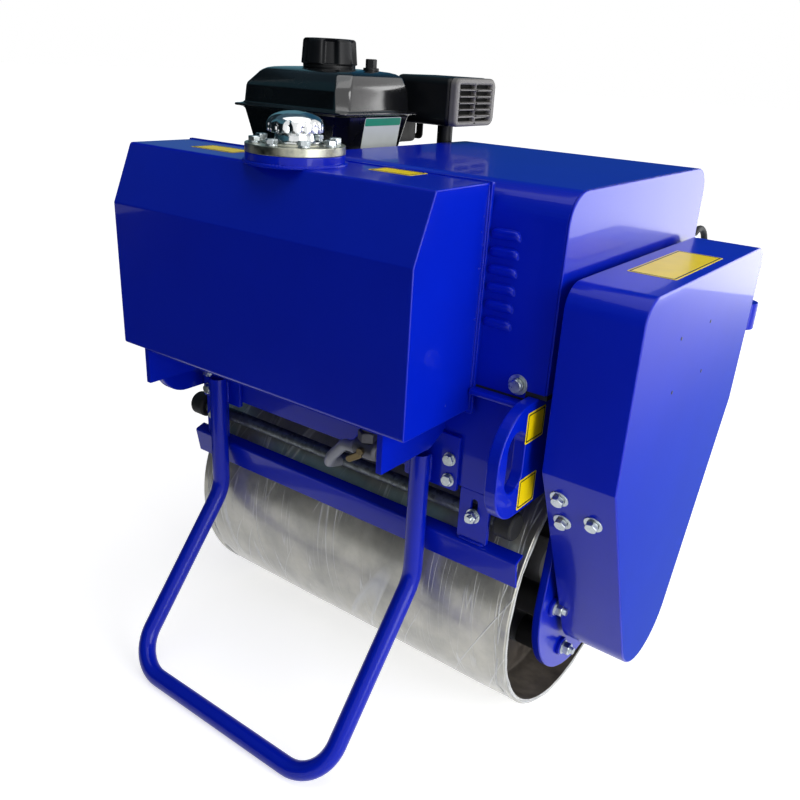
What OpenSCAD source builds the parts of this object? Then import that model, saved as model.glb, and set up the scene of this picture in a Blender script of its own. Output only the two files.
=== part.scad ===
// Walk-behind vibratory roller with one steel drum, a front oil tank, a parking stand and a fold-down handle.
// Millimetres. X runs along the drum's axle, Y from the front tank to the operator, Z up from the ground.

/* [Drum] */
// Outside diameter of the drum
drum_d = 424; // [320:1:440]
// Width of the drum
drum_w = 600; // [480:1:620]
// Thickness of the rolled drum shell
drum_wall = 8; // [5:0.5:14]
// Thickness of each round web welded into the shell
web_t = 12; // [8:1:20]
// Depth of each web behind the drum's edge
web_depth = 70; // [55:1:100]
// Diameter of the axle stubs
axle_d = 60; // [40:1:80]

/* [Yokes and rubber dampers] */
// Radius of a yoke's round lower end
yoke_r = 150; // [130:1:165]
// Thickness of a yoke plate
yoke_t = 12; // [8:1:16]
// Pitch circle diameter of the dampers
damper_pcd = 220; // [180:1:240]
// Diameter of a rubber damper
damper_d = 46; // [30:1:56]
// Number of dampers on each side
damper_count = 6; // [4:1:8]
// Turn of the damper circle about the axle
damper_turn = 57; // [0:1:60]

/* [Upper frame] */
// Width between the frame's side plates
frame_w = 578; // [560:1:600]
// Distance between the outer faces of the front and rear aprons
frame_len = 412; // [340:0.1:500]
// Height of the deck's top above the ground
deck_z = 553; // [530:0.1:664]
// Height of the aprons' lower edge above the ground
apron_z = 408; // [390:1:440]
// Thickness of the frame's plates
plate_t = 8; // [5:1:12]
// Thickness of the side plates with their lifting hooks
side_t = 16; // [10:0.1:20]
// Width of the slot in each hook
hook_slot_w = 40; // [24:1:44]

/* [Oil tank] */
// Width of the tank
tank_w = 500; // [400:1:560]
// Depth of the tank from front to back
tank_depth = 142; // [120:1:200]
// Height of the tank
tank_h = 274; // [200:1:300]
// Height of the sloping band along the tank's front
tank_slope_h = 76; // [40:1:100]
// Depth of the sloping band
tank_slope = 33; // [10:1:60]
// Thickness of the tank's sheet
tank_wall = 4; // [3:0.5:6]
// Height of the end flanges that carry the tank
shelf_h = 58; // [30:1:70]
// Outside diameter of the bolted filler ring
ring_d = 132; // [110:1:140]
// Diameter of the breather cap
breather_d = 72; // [50:1:80]

/* [Hood] */
// Height of the hood above the deck
hood_h = 244; // [205:1:290]
// Length of the hood from front to back
hood_len = 436; // [400:1:480]
// Thickness of the hood's sheet
hood_sheet = 3; // [2:0.5:5]
// Radius of the hood's front bend
hood_bend = 36; // [20:1:60]
// Width of the hood
hood_w = 394; // [340:1:420]
// Number of pressed louvres in the hood's front
louvre_count = 6; // [3:1:8]

/* [Belt cover] */
// Height of the belt cover above the side plates
cover_h = 144; // [100:1:180]
// Thickness of the belt cover from side to side
cover_w = 80; // [60:1:80]
// Radius of the cover's round lower end
cover_r = 86; // [70:1:110]
// Thickness of the cover's sheet
cover_sheet = 3; // [2:0.5:5]

/* [Parking stand] */
// Diameter of the stand's tube
stand_tube = 27; // [22:0.1:34]
// Wall of the stand's tube
stand_wall = 3; // [2:0.5:4]
// Distance between the stand's legs, centre to centre
stand_w = 390; // [300:1:420]
// Radius of the stand's bends
stand_bend = 60; // [45:1:80]
// Distance from the legs forward to the bottom bar
stand_reach = 191; // [150:1:230]

/* [Engine] */
// Width of the fuel tank
fuel_w = 229; // [200:1:235]
// Depth of the fuel tank from front to back
fuel_depth = 187; // [160:1:200]
// Height of the fuel tank from its foot to its top
fuel_h = 116; // [90:1:130]
// Diameter of the fuel cap
fuel_cap_d = 100; // [70:1:110]
// Number of cooling fins on the cylinder
fin_count = 7; // [4:1:9]

/* [Handle] */
// Length of the handle from its pivot to the grip bar
handle_len = 440; // [360:1:480]
// Distance between the handle's arms, centre to centre
handle_w = 520; // [460:1:560]
// Diameter of the handle's tube
handle_tube = 27; // [22:0.5:32]
// Width and height of the square beam behind the frame
beam = 40; // [30:1:50]

/* [Hidden] */

// Running gap between parts that turn past each other
gap = 0.5;
// Clearance between parts that are pressed, bolted or clipped together
seat_gap = 0.3;
// A flat side meets a round end this far inside the round
meet = 0.05;
// A bend swells this much over its straight tubes and laps them by one degree at each end
swell = 0.2;
// The machine's box is centred on the origin, so the axle stands a little behind its middle
axle_y = 9;
axle_z = drum_d / 2;
frame_x = frame_w / 2;
apron_y = frame_len / 2;
web_x = drum_w / 2 - web_depth;
yoke_x = frame_x + side_t;
yoke_top_half = 105;
hook_z1 = deck_z + 7;
yoke_top = hook_z1 - 52;
// Oil tank: its back lies against the hood's front
hood_y0 = -apron_y - 6;
hood_x1 = frame_x + 25;
hood_x0 = hood_x1 - hood_w;
hood_z0 = deck_z + 3;
hood_top = deck_z + hood_h;
hood_side_z0 = hook_z1 + 6;
tank_back = hood_y0;
tank_front = tank_back - tank_depth;
tank_x1 = 214;
tank_x0 = tank_x1 - tank_w;
tank_z0 = deck_z - 31;
tank_top = tank_z0 + tank_h;
filler_x = -27;
filler_y = (tank_front + tank_back) / 2;
boss_h = 12;
ring_t = 10;
// Belt cover
cover_x1 = 420;
cover_x0 = cover_x1 - cover_w;
cover_y0 = -225;
cover_y1 = 206;
cover_corner = 30;
cover_knee_z = hook_z1 - 82;
cover_top = hook_z1 + cover_h;
// Stand
stand_x = -42.5;
stand_y = -(apron_y + 6 + stand_tube / 2);
stand_top = apron_z + 38;
stand_knee_z = 252;
// Engine
fuel_x1 = -110;
fuel_x0 = fuel_x1 - fuel_w;
fuel_y0 = -90;
fuel_y1 = fuel_y0 + fuel_depth;
crank_z = deck_z + 123;
crank_y = 0;
// Handle
beam_y = apron_y + 56;
beam_half = frame_x + 93;
arm_x = handle_w / 2;
pivot_y = beam_y + beam / 2 + 28;
pivot_z = hook_z1 + 8 + beam / 2;

hose_d = 13;
hose_x = frame_x + 11;
hose_y = beam_y + 28;
hose_z = deck_z + 137;
hose_r1 = 40;
hose_r2 = 30;

// Seats and shares that follow from the sizes above
web_seat = 12;
motor_spigot_d = 84;
deck_nose = 10;
notch_z = drum_d + 12;
notch_y = 104;
notch_run = 18;
hook_y0 = -apron_y - 88;
hook_z0 = apron_z;
hook_r1 = 66;
hook_r2 = 34;
hook_slot_y = hook_y0 + 20;
hook_slot_z0 = hook_z0 + 66;
hook_slot_z1 = hook_z1 - 48;
dome_r = 52;
shelf_x0 = tank_x0 + 26;
shelf_x1 = tank_x1 - 39;
shelf_reach = tank_depth - 8;
stand_plate_z0 = apron_z - 8;
stand_plate_z1 = apron_z + 70;
stand_drop = stand_knee_z - stand_tube / 2;
stand_slant = norm([stand_reach, stand_drop]);
stand_angle = atan2(stand_reach, stand_drop);
knee_t = stand_bend * tan(stand_angle / 2);
scraper_x0 = -frame_x - 24;
scraper_x1 = frame_x + 12;
scraper_edge_z = axle_z + 77;
scraper_edge_y = sqrt(pow(axle_z, 2) - pow(scraper_edge_z - axle_z, 2)) + 2;
scraper_nose_y = -apron_y - 5.7;
scraper_nose_z = scraper_edge_z + 42;
scraper_back_y = -apron_y + 13;
scraper_back_z = scraper_nose_z + 6;
scraper_t = 4;
bracket_t = 6;
bracket_places = [[-frame_x + 1, 46], [frame_x - 83, 46]];
pipe_d = 20;
pipe_x0 = -frame_x - 37;
pipe_x1 = frame_x - 5;
pipe_z = scraper_back_z + 32;
pipe_y = -apron_y + bracket_t + 0.3 + pipe_d / 2;
valve_x = 75;
valve_z = pipe_z + 71;
valve_run = 100;
louvre_w = 34;
louvre_x0 = tank_x1 + 8;
louvre_pitch = 20.7;
engine_x0 = -290;
engine_w = 180;
fuel_corner = 22;
fuel_bottom = crank_z + 108;
fuel_top = fuel_bottom + fuel_h;
fuel_seam_z = fuel_bottom + 0.48 * fuel_h;
cap_x = -219;
cap_y = 0;
muffler_x0 = engine_x0 + 4;
muffler_y0 = fuel_y1 + 13;
muffler_z0 = crank_z + 112;
air_x0 = -150;
air_x1 = -48;
air_y0 = fuel_y1 + 5;
air_y1 = air_y0 + 117;
air_z0 = crank_z + 147;
air_z1 = air_z0 + 72;
neck_x = -103;
neck_y = air_y0 + 58;
neck_d = 26;
air_r = 12;
cover_axle_y = -10;
cover_back_knee_y = 194;
$fn = 64;

module at_axle() translate([0, axle_y, 0]) children();

// A cylinder along X from x0 to x1
module rod_x(x0, x1, d, y = 0, z = 0) translate([x0, y, z]) rotate([0, 90, 0]) cylinder(d = d, h = x1 - x0);

// A cylinder along Y from y0 to y1
module rod_y(y0, y1, d, x = 0, z = 0) translate([x, y0, z]) rotate([-90, 0, 0]) cylinder(d = d, h = y1 - y0);

// A plate across X: its outline is drawn in Y and Z
module plate_x(x0, t) translate([x0, 0, 0]) rotate([90, 0, 90]) linear_extrude(t) children();

// A plate across Y: its outline is drawn in X and Z
module plate_y(y0, t) translate([0, y0 + t, 0]) rotate([90, 0, 0]) linear_extrude(t) children();

// Both sides of the machine
module both_sides() for (side = [0, 1]) mirror([side, 0, 0]) children();

// Six-fold places of the dampers round the axle, in Y and Z
module damper_places() for (i = [0 : damper_count - 1]) rotate([i * 360 / damper_count + damper_turn, 0, 0])
    translate([0, damper_pcd / 2, 0]) children();

module drum_shell() color("silver") at_axle() translate([0, 0, axle_z]) difference() {
    rod_x(-drum_w / 2, drum_w / 2, drum_d);
    rod_x(-drum_w / 2 - 1, -web_x, drum_d - 2 * drum_wall);
    rod_x(web_x, drum_w / 2 + 1, drum_d - 2 * drum_wall);
    rod_x(-web_x + web_t, web_x - web_t, drum_d - 2 * drum_wall);
    rod_x(-web_x - 1, web_x + 1, axle_d + 2 * gap);
}

module drum_axle_stubs() color("dimgray") at_axle() translate([0, 0, axle_z]) both_sides()
    rod_x(web_x - web_t - 10, web_x + web_seat + web_t, axle_d);

module damper_rings() color("dimgray") at_axle() translate([0, 0, axle_z]) both_sides() difference() {
    rod_x(web_x + web_seat, web_x + web_seat + web_t, damper_pcd + damper_d);
    rod_x(web_x + web_seat - 1, web_x + web_seat + web_t + 1, axle_d + 2 * seat_gap);
}

module rubber_dampers() color("black") at_axle() translate([0, 0, axle_z]) both_sides() damper_places()
    rod_x(web_x + web_seat + web_t, yoke_x, damper_d);

// Angle at which a line from a point beside and above a circle touches it, below the circle's middle
function touch(dy, dz, r) = acos(r / norm([dy, dz])) - atan2(dz, dy);

// A yoke hangs from the frame; its sides run tangent to its round lower end
module yoke() difference() {
    plate_x(yoke_x, yoke_t) {
        side = touch(yoke_top_half, yoke_top - axle_z, yoke_r - meet);
        touch_y = (yoke_r - meet) * cos(side);
        touch_z = axle_z - (yoke_r - meet) * sin(side);
        translate([0, axle_z]) circle(yoke_r);
        polygon([[-yoke_top_half, yoke_top], [-touch_y, touch_z],
            [touch_y, touch_z], [yoke_top_half, yoke_top]]);
    }
    rod_x(yoke_x - 1, yoke_x + yoke_t + 1, motor_spigot_d, 0, axle_z);
}

module right_yoke() color("mediumblue") at_axle() yoke();

module left_yoke() color("mediumblue") at_axle() mirror([1, 0, 0]) yoke();

// The hydraulic motor that turns the drum sits on the left yoke
module travel_motor() color("dimgray") at_axle() translate([0, 0, axle_z]) {
    rod_x(-yoke_x - yoke_t - 14, -yoke_x - yoke_t, motor_spigot_d + 50);
    rod_x(-yoke_x - yoke_t - 62, -yoke_x - yoke_t - 14, motor_spigot_d);
    rod_x(-yoke_x - yoke_t, -web_x - web_seat - web_t, motor_spigot_d - 2 * gap);
}

// A closed cover on the right yoke's bore
module right_yoke_cap() color("mediumblue") at_axle() translate([0, 0, axle_z])
    rod_x(yoke_x + yoke_t, yoke_x + yoke_t + 6, motor_spigot_d + 30);

module apron() plate_y(-apron_y, plate_t) translate([-frame_x, apron_z])
    square([frame_w, deck_z - plate_t - apron_z]);

module front_apron() color("mediumblue") at_axle() apron();

module rear_apron() color("mediumblue") at_axle() mirror([0, 1, 0]) apron();

// Half of a side plate: the hook at its end is a D with a tall slot, and the middle rises over the drum
module side_half() difference() {
    union() {
        polygon([[0, notch_z], [-notch_y, notch_z], [-notch_y - notch_run, hook_z0],
            [hook_y0 + hook_r2, hook_z0], [hook_y0, hook_z0 + hook_r2], [hook_y0, hook_z1 - hook_r1],
            [hook_y0 + hook_r1, hook_z1], [0, hook_z1]]);
        translate([hook_y0 + hook_r1, hook_z1 - hook_r1]) circle(hook_r1);
        translate([hook_y0 + hook_r2, hook_z0 + hook_r2]) circle(hook_r2);
    }
    translate([hook_slot_y, hook_slot_z0]) square([hook_slot_w, hook_slot_z1 - hook_slot_z0]);
    for (z = [hook_slot_z0, hook_slot_z1]) translate([hook_slot_y + hook_slot_w / 2, z])
        circle(d = hook_slot_w);
}

module side_plate() plate_x(frame_x, side_t) {
    side_half();
    mirror([1, 0]) side_half();
}

module right_side_plate() color("mediumblue") at_axle() side_plate();

module left_side_plate() color("mediumblue") at_axle() mirror([1, 0, 0]) side_plate();

// A plate between the hook plates; beside the tank its rounded nose runs out past the hood
module deck() color("mediumblue") at_axle() {
    translate([-frame_x, hood_y0 + 0.3, deck_z - plate_t]) cube([frame_w, hood_len - 0.3, plate_t]);
    translate([tank_x1 + 3, hood_y0 - deck_nose, deck_z - plate_t])
        cube([frame_x - tank_x1 - 3, deck_nose + 1, plate_t]);
    rod_x(tank_x1 + 3, frame_x, plate_t, hood_y0 - deck_nose, deck_z - plate_t / 2);
}

// Outline of the tank's end, moved inwards by m
module tank_outline(m = 0) polygon([[tank_front + m, tank_z0 + m], [tank_back - m, tank_z0 + m],
    [tank_back - m, tank_top - m], [tank_front + tank_slope + m / 2, tank_top - m],
    [tank_front + m, tank_top - tank_slope_h - m / 2]]);

module oil_tank() color("mediumblue") at_axle() difference() {
    union() {
        plate_x(tank_x0, tank_w) tank_outline();
        translate([filler_x, filler_y, tank_top]) cylinder(d = ring_d, h = boss_h);
    }
    plate_x(tank_x0 + tank_wall, tank_w - 2 * tank_wall) tank_outline(tank_wall);
    translate([filler_x, filler_y, tank_top - 2 * tank_wall])
        cylinder(d = ring_d - 44, h = boss_h + 3 * tank_wall);
}

module filler_ring() color("lightgray") at_axle() translate([filler_x, filler_y, tank_top + boss_h]) {
    cylinder(d = ring_d, h = ring_t);
    for (i = [0 : 7]) rotate([0, 0, i * 45 + 10]) translate([ring_d / 2 - 12, 0, ring_t])
        cylinder(d = 15, h = 9, $fn = 6);
}

module breather_cap() color("white") at_axle() translate([filler_x, filler_y, tank_top + boss_h + ring_t]) {
    cylinder(d = breather_d - 4, h = 4);
    translate([0, 0, 4]) cylinder(d = breather_d - 26, h = 8);
    translate([0, 0, 12]) difference() {
        cylinder(d = breather_d, h = 14);
        for (i = [0 : 11]) rotate([0, 0, i * 30]) translate([breather_d / 2 + 3, 0, -1])
            cylinder(d = 12, h = 16, $fn = 24);
    }
    translate([0, 0, 26]) intersection() {
        translate([0, 0, -dome_r + 14]) sphere(dome_r);
        cylinder(d = breather_d, h = 16);
    }
}

// A shelf under the tank, with an end flange that hangs down at each side and rises over the stand's plates
module tank_shelf() color("mediumblue") at_axle() {
    front = -apron_y - shelf_reach;
    rise = stand_plate_z1 + 3;
    translate([shelf_x0, front, tank_z0 - plate_t]) cube([shelf_x1 - shelf_x0, shelf_reach, plate_t]);
    translate([shelf_x0, -apron_y - plate_t, rise]) cube([shelf_x1 - shelf_x0, plate_t, tank_z0 - rise]);
    for (x = [shelf_x0, shelf_x1 - plate_t]) plate_x(x, plate_t) polygon([
        [front, tank_z0], [front, tank_z0 - shelf_h], [-apron_y - 32, tank_z0 - shelf_h],
        [-apron_y, rise], [-apron_y, tank_z0]]);
}

// A tube bend in the X-Y plane: it starts along +Y at the origin and turns towards +X
module bend(r, angle, d) translate([r, 0, 0]) rotate([0, 0, 179 - angle])
    rotate_extrude(angle = angle + 2) translate([r, 0]) circle(d = d + swell);

// The stand's U, drawn flat: legs along -Y from the knee, bottom bar along X
module stand_u(d) both_sides() translate([stand_w / 2, 0, 0]) rotate([0, 0, 180]) {
    translate([0, knee_t, 0]) rotate([-90, 0, 0]) cylinder(d = d, h = stand_slant - knee_t - stand_bend);
    translate([0, stand_slant - stand_bend, 0]) bend(stand_bend, 90, d);
    translate([stand_bend, stand_slant, 0]) rotate([0, 90, 0]) cylinder(d = d, h = stand_w / 2 - stand_bend);
}

// The upright legs with their forward knees
module stand_legs(d) both_sides() translate([stand_w / 2, 0, 0]) {
    translate([0, 0, knee_t]) cylinder(d = d, h = stand_top - stand_knee_z - knee_t);
    translate([0, 0, knee_t]) rotate([180, 0, 0]) rotate([90, 0, 90]) bend(stand_bend, stand_angle, d);
}

module parking_stand() color("mediumblue") at_axle()
    translate([stand_x, stand_y, stand_knee_z]) difference() {
        union() {
            stand_legs(stand_tube, $fn = 40);
            rotate([90 - stand_angle, 0, 0]) stand_u(stand_tube, $fn = 40);
        }
        both_sides() translate([stand_w / 2, 0, knee_t + 40])
            cylinder(d = stand_tube - 2 * stand_wall, h = stand_top);
    }

module stand_plates() color("mediumblue") at_axle() translate([stand_x, 0, 0]) both_sides()
    translate([stand_w / 2 - 34, -apron_y - 6, stand_plate_z0])
        cube([84, 6, stand_plate_z1 - stand_plate_z0]);

// An angle bar with its nose forwards; its lower lip runs just off the drum
module scraper() plate_x(scraper_x0, scraper_x1 - scraper_x0) polygon([
    [-scraper_edge_y - scraper_t, scraper_edge_z + 1], [scraper_nose_y, scraper_nose_z],
    [scraper_back_y, scraper_back_z], [scraper_back_y, scraper_back_z - scraper_t],
    [scraper_nose_y + scraper_t + 1, scraper_nose_z - scraper_t / 2], [-scraper_edge_y, scraper_edge_z]]);

module front_scraper() color("mediumblue") at_axle() scraper();

module rear_scraper() color("mediumblue") at_axle() mirror([0, 1, 0]) scraper();

// Height of the scraper's top face at a place along Y
function scraper_top(y) = scraper_nose_z
    + (y - scraper_nose_y) * (scraper_back_z - scraper_nose_z) / (scraper_back_y - scraper_nose_y);

// Plates that carry the scrapers; the bolt's slot stands halfway between the apron and the scraper
module scraper_brackets() color("mediumblue") at_axle() for (end = [0, 1], place = bracket_places)
    mirror([0, end, 0]) difference() {
        plate_x(place[0], place[1]) polygon([[-apron_y, apron_z], [-apron_y, scraper_top(-apron_y) + 0.3],
            [-apron_y + bracket_t, scraper_top(-apron_y + bracket_t) + 0.3], [-apron_y + bracket_t, apron_z]]);
        translate([place[0] + place[1] / 2 - 5, -apron_y - 1, pipe_z - 3]) cube([10, bracket_t + 2, 30]);
    }

module sprinkler_pipe() color("dimgray") at_axle() {
    rod_x(pipe_x0, pipe_x1, pipe_d, pipe_y, pipe_z);
    rod_x(pipe_x0 - 2, pipe_x0 + 26, 38, pipe_y, pipe_z);
    rod_x(pipe_x1 - 26, pipe_x1 + 2, 38, pipe_y, pipe_z);
}

// A tap under the tank's shelf; its hose slants down to an elbow on the pipe
module sprinkler_valve() color("goldenrod") at_axle() translate([valve_x, -apron_y - 34, 0]) {
    drop = valve_z - 12 - pipe_z;
    translate([0, 0, valve_z + 22]) cylinder(d = 20, h = tank_z0 - plate_t - valve_z - 22);
    translate([0, 0, valve_z]) cylinder(d = 30, h = 22, $fn = 6);
    translate([0, 0, valve_z - 12]) cylinder(d = 16, h = 13);
    translate([0, 0, valve_z - 12]) sphere(d = 20);
    translate([0, 0, valve_z - 12]) rotate([0, -90 - atan2(drop, valve_run), 0])
        cylinder(d = 14, h = norm([valve_run, drop]));
    translate([-valve_run, 0, pipe_z]) sphere(d = 18);
    rod_y(0, pipe_y + apron_y + 34 - pipe_d / 2 - 0.3, 14, -valve_run, pipe_z);
}

// Hood sheet: front, top and back are one bent sheet
module hood_outline(m = 0) {
    translate([hood_y0 + m, hood_z0]) square([hood_len - 2 * m, hood_top - hood_z0 - hood_bend]);
    translate([hood_y0 + hood_bend, hood_top - hood_bend - 1])
        square([hood_len - 2 * hood_bend, hood_bend + 1 - m]);
    for (y = [hood_y0 + hood_bend, hood_y0 + hood_len - hood_bend])
        translate([y, hood_top - hood_bend]) circle(hood_bend - m);
}

module hood() color("mediumblue") at_axle() difference() {
    union() {
        plate_x(hood_x0, hood_w) hood_outline();
        for (i = [0 : louvre_count - 1]) translate([louvre_x0, hood_y0, deck_z + 85 + i * louvre_pitch])
            rotate([0, 90, 0]) cylinder(d = 12, h = louvre_w);
    }
    translate([0, 0, -1]) plate_x(hood_x0 - 1, hood_w - hood_sheet + 1) hood_outline(hood_sheet);
    translate([frame_x - 3.3, hood_y0 - 10, hood_z0 - 1])
        cube([hood_x1, hood_len + 20, hood_side_z0 - hood_z0 + 1]);
}

// A rubber strip under the hood's edges: along the deck, and up over the right hook plate
module hood_seal() color("black") at_axle() {
    difference() {
        translate([hood_x0, hood_y0, deck_z]) cube([frame_x - hood_x0, hood_len, hood_z0 - deck_z]);
        translate([hood_x0 - 1, hood_y0 + 8, deck_z - 1])
            cube([frame_x - hood_x0 - 7, hood_len - 16, hood_z0 - deck_z + 2]);
    }
    translate([frame_x - 3, hood_y0, hood_z0 - 1]) cube([2.7, hood_len, hook_z1 - hood_z0 + 1.3]);
    translate([frame_x - 3, hood_y0, hook_z1 + 0.3])
        cube([hood_x1 - frame_x + 3, hood_len, hood_side_z0 - hook_z1 - 0.3]);
}

// Crankcase, and a finned cylinder that leans backwards
module engine_block() color("dimgray") at_axle() {
    translate([engine_x0 + 8, -78, deck_z]) cube([engine_w - 8, 156, crank_z - 80 - deck_z]);
    rod_x(engine_x0 + 6.3, engine_x0 + engine_w, 172, crank_y, crank_z);
    translate([engine_x0 + 30, -60, crank_z + 50]) cube([engine_w - 60, 100, fuel_bottom - crank_z - 50]);
    translate([engine_x0 + engine_w / 2, crank_y, crank_z]) rotate([-65, 0, 0]) {
        translate([-46, -40, 60]) cube([92, 80, fin_count * 11 + 20]);
        for (i = [0 : fin_count - 1]) translate([-62, -50, 76 + i * 11]) cube([124, 100, 4]);
    }
    translate([muffler_x0 + 36, muffler_y0 + 4, crank_z + 60]) cube([26, 22, muffler_z0 - crank_z - 60]);
}

module recoil_starter() color("black") at_axle() translate([0, crank_y, crank_z]) {
    rod_x(engine_x0 - 26, engine_x0 + 6, 200);
    difference() {
        rod_x(engine_x0 - 44, engine_x0 - 26, 150);
        for (i = [0 : 11]) rotate([i * 30, 0, 0]) translate([engine_x0 - 50, 44, -4]) cube([16, 22, 8]);
    }
}

// The fuel tank's outline at one height: a rectangle moved inwards, its corners cut off
module fuel_slab(m, z, h) translate([fuel_x0 + m, fuel_y0 + m, z]) linear_extrude(h) {
    w = fuel_w - 2 * m;
    d = fuel_depth - 2 * m;
    c = fuel_corner;
    polygon([[c, 0], [w - c, 0], [w, c], [w, d - c], [w - c, d], [c, d], [0, d - c], [0, c]]);
}

module fuel_tank() color("black") at_axle() {
    hull() {
        fuel_slab(24, fuel_bottom, 1);
        fuel_slab(8, fuel_seam_z - 22, 20);
    }
    fuel_slab(0, fuel_seam_z - 2, 4);
    hull() {
        fuel_slab(6, fuel_seam_z + 1, 22);
        fuel_slab(38, fuel_top - 3, 3);
    }
}

module fuel_cap() color("black") at_axle() translate([cap_x, cap_y, fuel_top]) {
    cylinder(d = fuel_cap_d - 14, h = 34);
    for (i = [0 : 3]) rotate([0, 0, i * 90 + 20]) translate([fuel_cap_d / 2 - 15, 0, 0])
        cylinder(d = 30, h = 40);
    translate([62, 36, 0]) cylinder(d = 16, h = 14);
}

// The grille in the air cleaner's end has two columns of slots; its neck goes down to a duct
module air_cleaner() color("dimgray") at_axle() difference() {
    union() {
        plate_x(air_x0, air_x1 - air_x0) hull() for (y = [air_y0 + air_r, air_y1 - air_r]) {
            translate([y, air_z0 + air_r]) circle(air_r, $fn = 32);
            translate([y, air_z1 - air_r]) circle(air_r, $fn = 32);
        }
        translate([neck_x, neck_y, air_z0 - 50]) cylinder(d = neck_d, h = 51);
        translate([engine_x0 + engine_w - 28 + 0.3, air_y0 - 20, air_z0 - 84])
            cube([neck_x + 15 - engine_x0 - engine_w + 28, neck_y + 18 - air_y0 + 20, 36]);
    }
    for (c = [0, 1], r = [0 : 5]) translate([air_x1 - 4, air_y0 + 18 + c * 42, air_z0 + 10 + r * 8.9])
        cube([6, 37, 4.6]);
}

module muffler() color("dimgray") at_axle() {
    translate([muffler_x0, muffler_y0, muffler_z0]) cube([118, 80, 72]);
    rod_y(muffler_y0 + 80, muffler_y0 + 98, 26, muffler_x0 + 30, muffler_z0 + 40);
}

// Belt cover seen from the side: a round lower end about the axle, an upright front and a nearly upright back
module cover_outline(m = 0) {
    r = cover_r - m - meet;
    front = touch(cover_axle_y - cover_y0 - m, cover_knee_z - axle_z, r);
    back = touch(cover_back_knee_y - m - cover_axle_y, cover_knee_z - axle_z, r);
    translate([cover_axle_y, axle_z]) circle(cover_r - m);
    polygon([[cover_y0 + m, cover_knee_z],
        [cover_axle_y - r * cos(front), axle_z - r * sin(front)],
        [cover_axle_y + r * cos(back), axle_z - r * sin(back)],
        [cover_back_knee_y - m, cover_knee_z], [cover_y1 - m, cover_top - cover_corner],
        [cover_y1 - cover_corner, cover_top - m], [cover_y0 + cover_corner, cover_top - m],
        [cover_y0 + m, cover_top - cover_corner]]);
    for (y = [cover_y0 + cover_corner, cover_y1 - cover_corner]) translate([y, cover_top - cover_corner])
        circle(cover_corner - m);
}

module belt_cover() color("mediumblue") at_axle() difference() {
    plate_x(cover_x0, cover_w) cover_outline();
    plate_x(cover_x0 - 1, cover_w - cover_sheet + 1) cover_outline(cover_sheet);
}

// The cover's back plate stands off the yoke on two short posts
module belt_cover_back() color("mediumblue") at_axle() {
    plate_x(cover_x0, cover_sheet) cover_outline(cover_sheet);
    for (y = [-60, 60]) rod_x(yoke_x + yoke_t, cover_x0 + 1, 40, y, yoke_top - 58);
}

// Box tube behind the frame that carries the handle, on two gussets, with a round bush at each end
module rear_beam() color("mediumblue") at_axle() {
    difference() {
        translate([-beam_half, beam_y - beam / 2, pivot_z - beam / 2]) cube([2 * beam_half, beam, beam]);
        translate([-beam_half - 1, beam_y - beam / 2 + 3, pivot_z - beam / 2 + 3])
            cube([2 * beam_half + 2, beam - 6, beam - 6]);
    }
    both_sides() plate_x(180, 10) polygon([
        [apron_y, apron_z + 62], [beam_y + beam / 2, pivot_z - beam / 2 - 28],
        [beam_y + beam / 2, pivot_z - beam / 2], [beam_y - beam / 2, pivot_z - beam / 2],
        [beam_y - beam / 2, deck_z - plate_t], [apron_y, deck_z - plate_t]]);
    both_sides() translate([beam_half + 12, beam_y, pivot_z - beam / 2]) difference() {
        cylinder(d = 40, h = beam);
        translate([-40, -40, -1]) cube([28, 80, beam + 2]);
        translate([0, 0, -1]) cylinder(d = 17, h = beam + 2);
    }
}

// Two ears and a pin for each arm of the handle
module handle_pivots() color("mediumblue") at_axle() both_sides() {
    for (x = [arm_x - handle_tube / 2 - 8, arm_x + handle_tube / 2 + 2]) difference() {
        plate_x(x, 6) {
            translate([pivot_y, pivot_z]) circle(18);
            translate([beam_y + beam / 2, pivot_z - 18]) square([pivot_y - beam_y - beam / 2, 36]);
        }
    }
    rod_x(arm_x - handle_tube / 2 - 12, arm_x + handle_tube / 2 + 12, 14, pivot_y, pivot_z);
}

module handle_frame() color("mediumblue") at_axle() difference() {
    translate([0, pivot_y, pivot_z]) both_sides() {
        translate([arm_x, 0, -handle_len + 50]) cylinder(d = handle_tube, h = handle_len - 50 + 8);
        translate([arm_x, 0, -handle_len + 50]) rotate([0, 0, 180]) rotate([-90, 0, 0]) bend(50, 90, handle_tube);
        translate([0, 0, -handle_len]) rotate([0, 90, 0]) cylinder(d = handle_tube, h = arm_x - 50);
        translate([0, 0, -handle_len + 130]) rotate([0, 90, 0]) cylinder(d = 20, h = arm_x);
    }
    both_sides() rod_x(arm_x - 40, arm_x + 40, 14 + gap, pivot_y, pivot_z);
}

module grips() color("black") at_axle() both_sides() difference() {
    rod_x(60, arm_x - 56, handle_tube + 9, pivot_y, pivot_z - handle_len);
    rod_x(59, arm_x - 55, handle_tube + 0.4, pivot_y, pivot_z - handle_len);
}

module control_box() color("dimgray") at_axle() translate([-60, pivot_y + 10, pivot_z - handle_len + 90])
    cube([120, 44, 90]);

module travel_lever() color("black") at_axle() {
    rod_y(pivot_y + 54 + seat_gap, pivot_y + 84, 10, 0, pivot_z - handle_len + 150);
    translate([0, pivot_y + 88, pivot_z - handle_len + 150]) sphere(d = 28);
}

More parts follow.
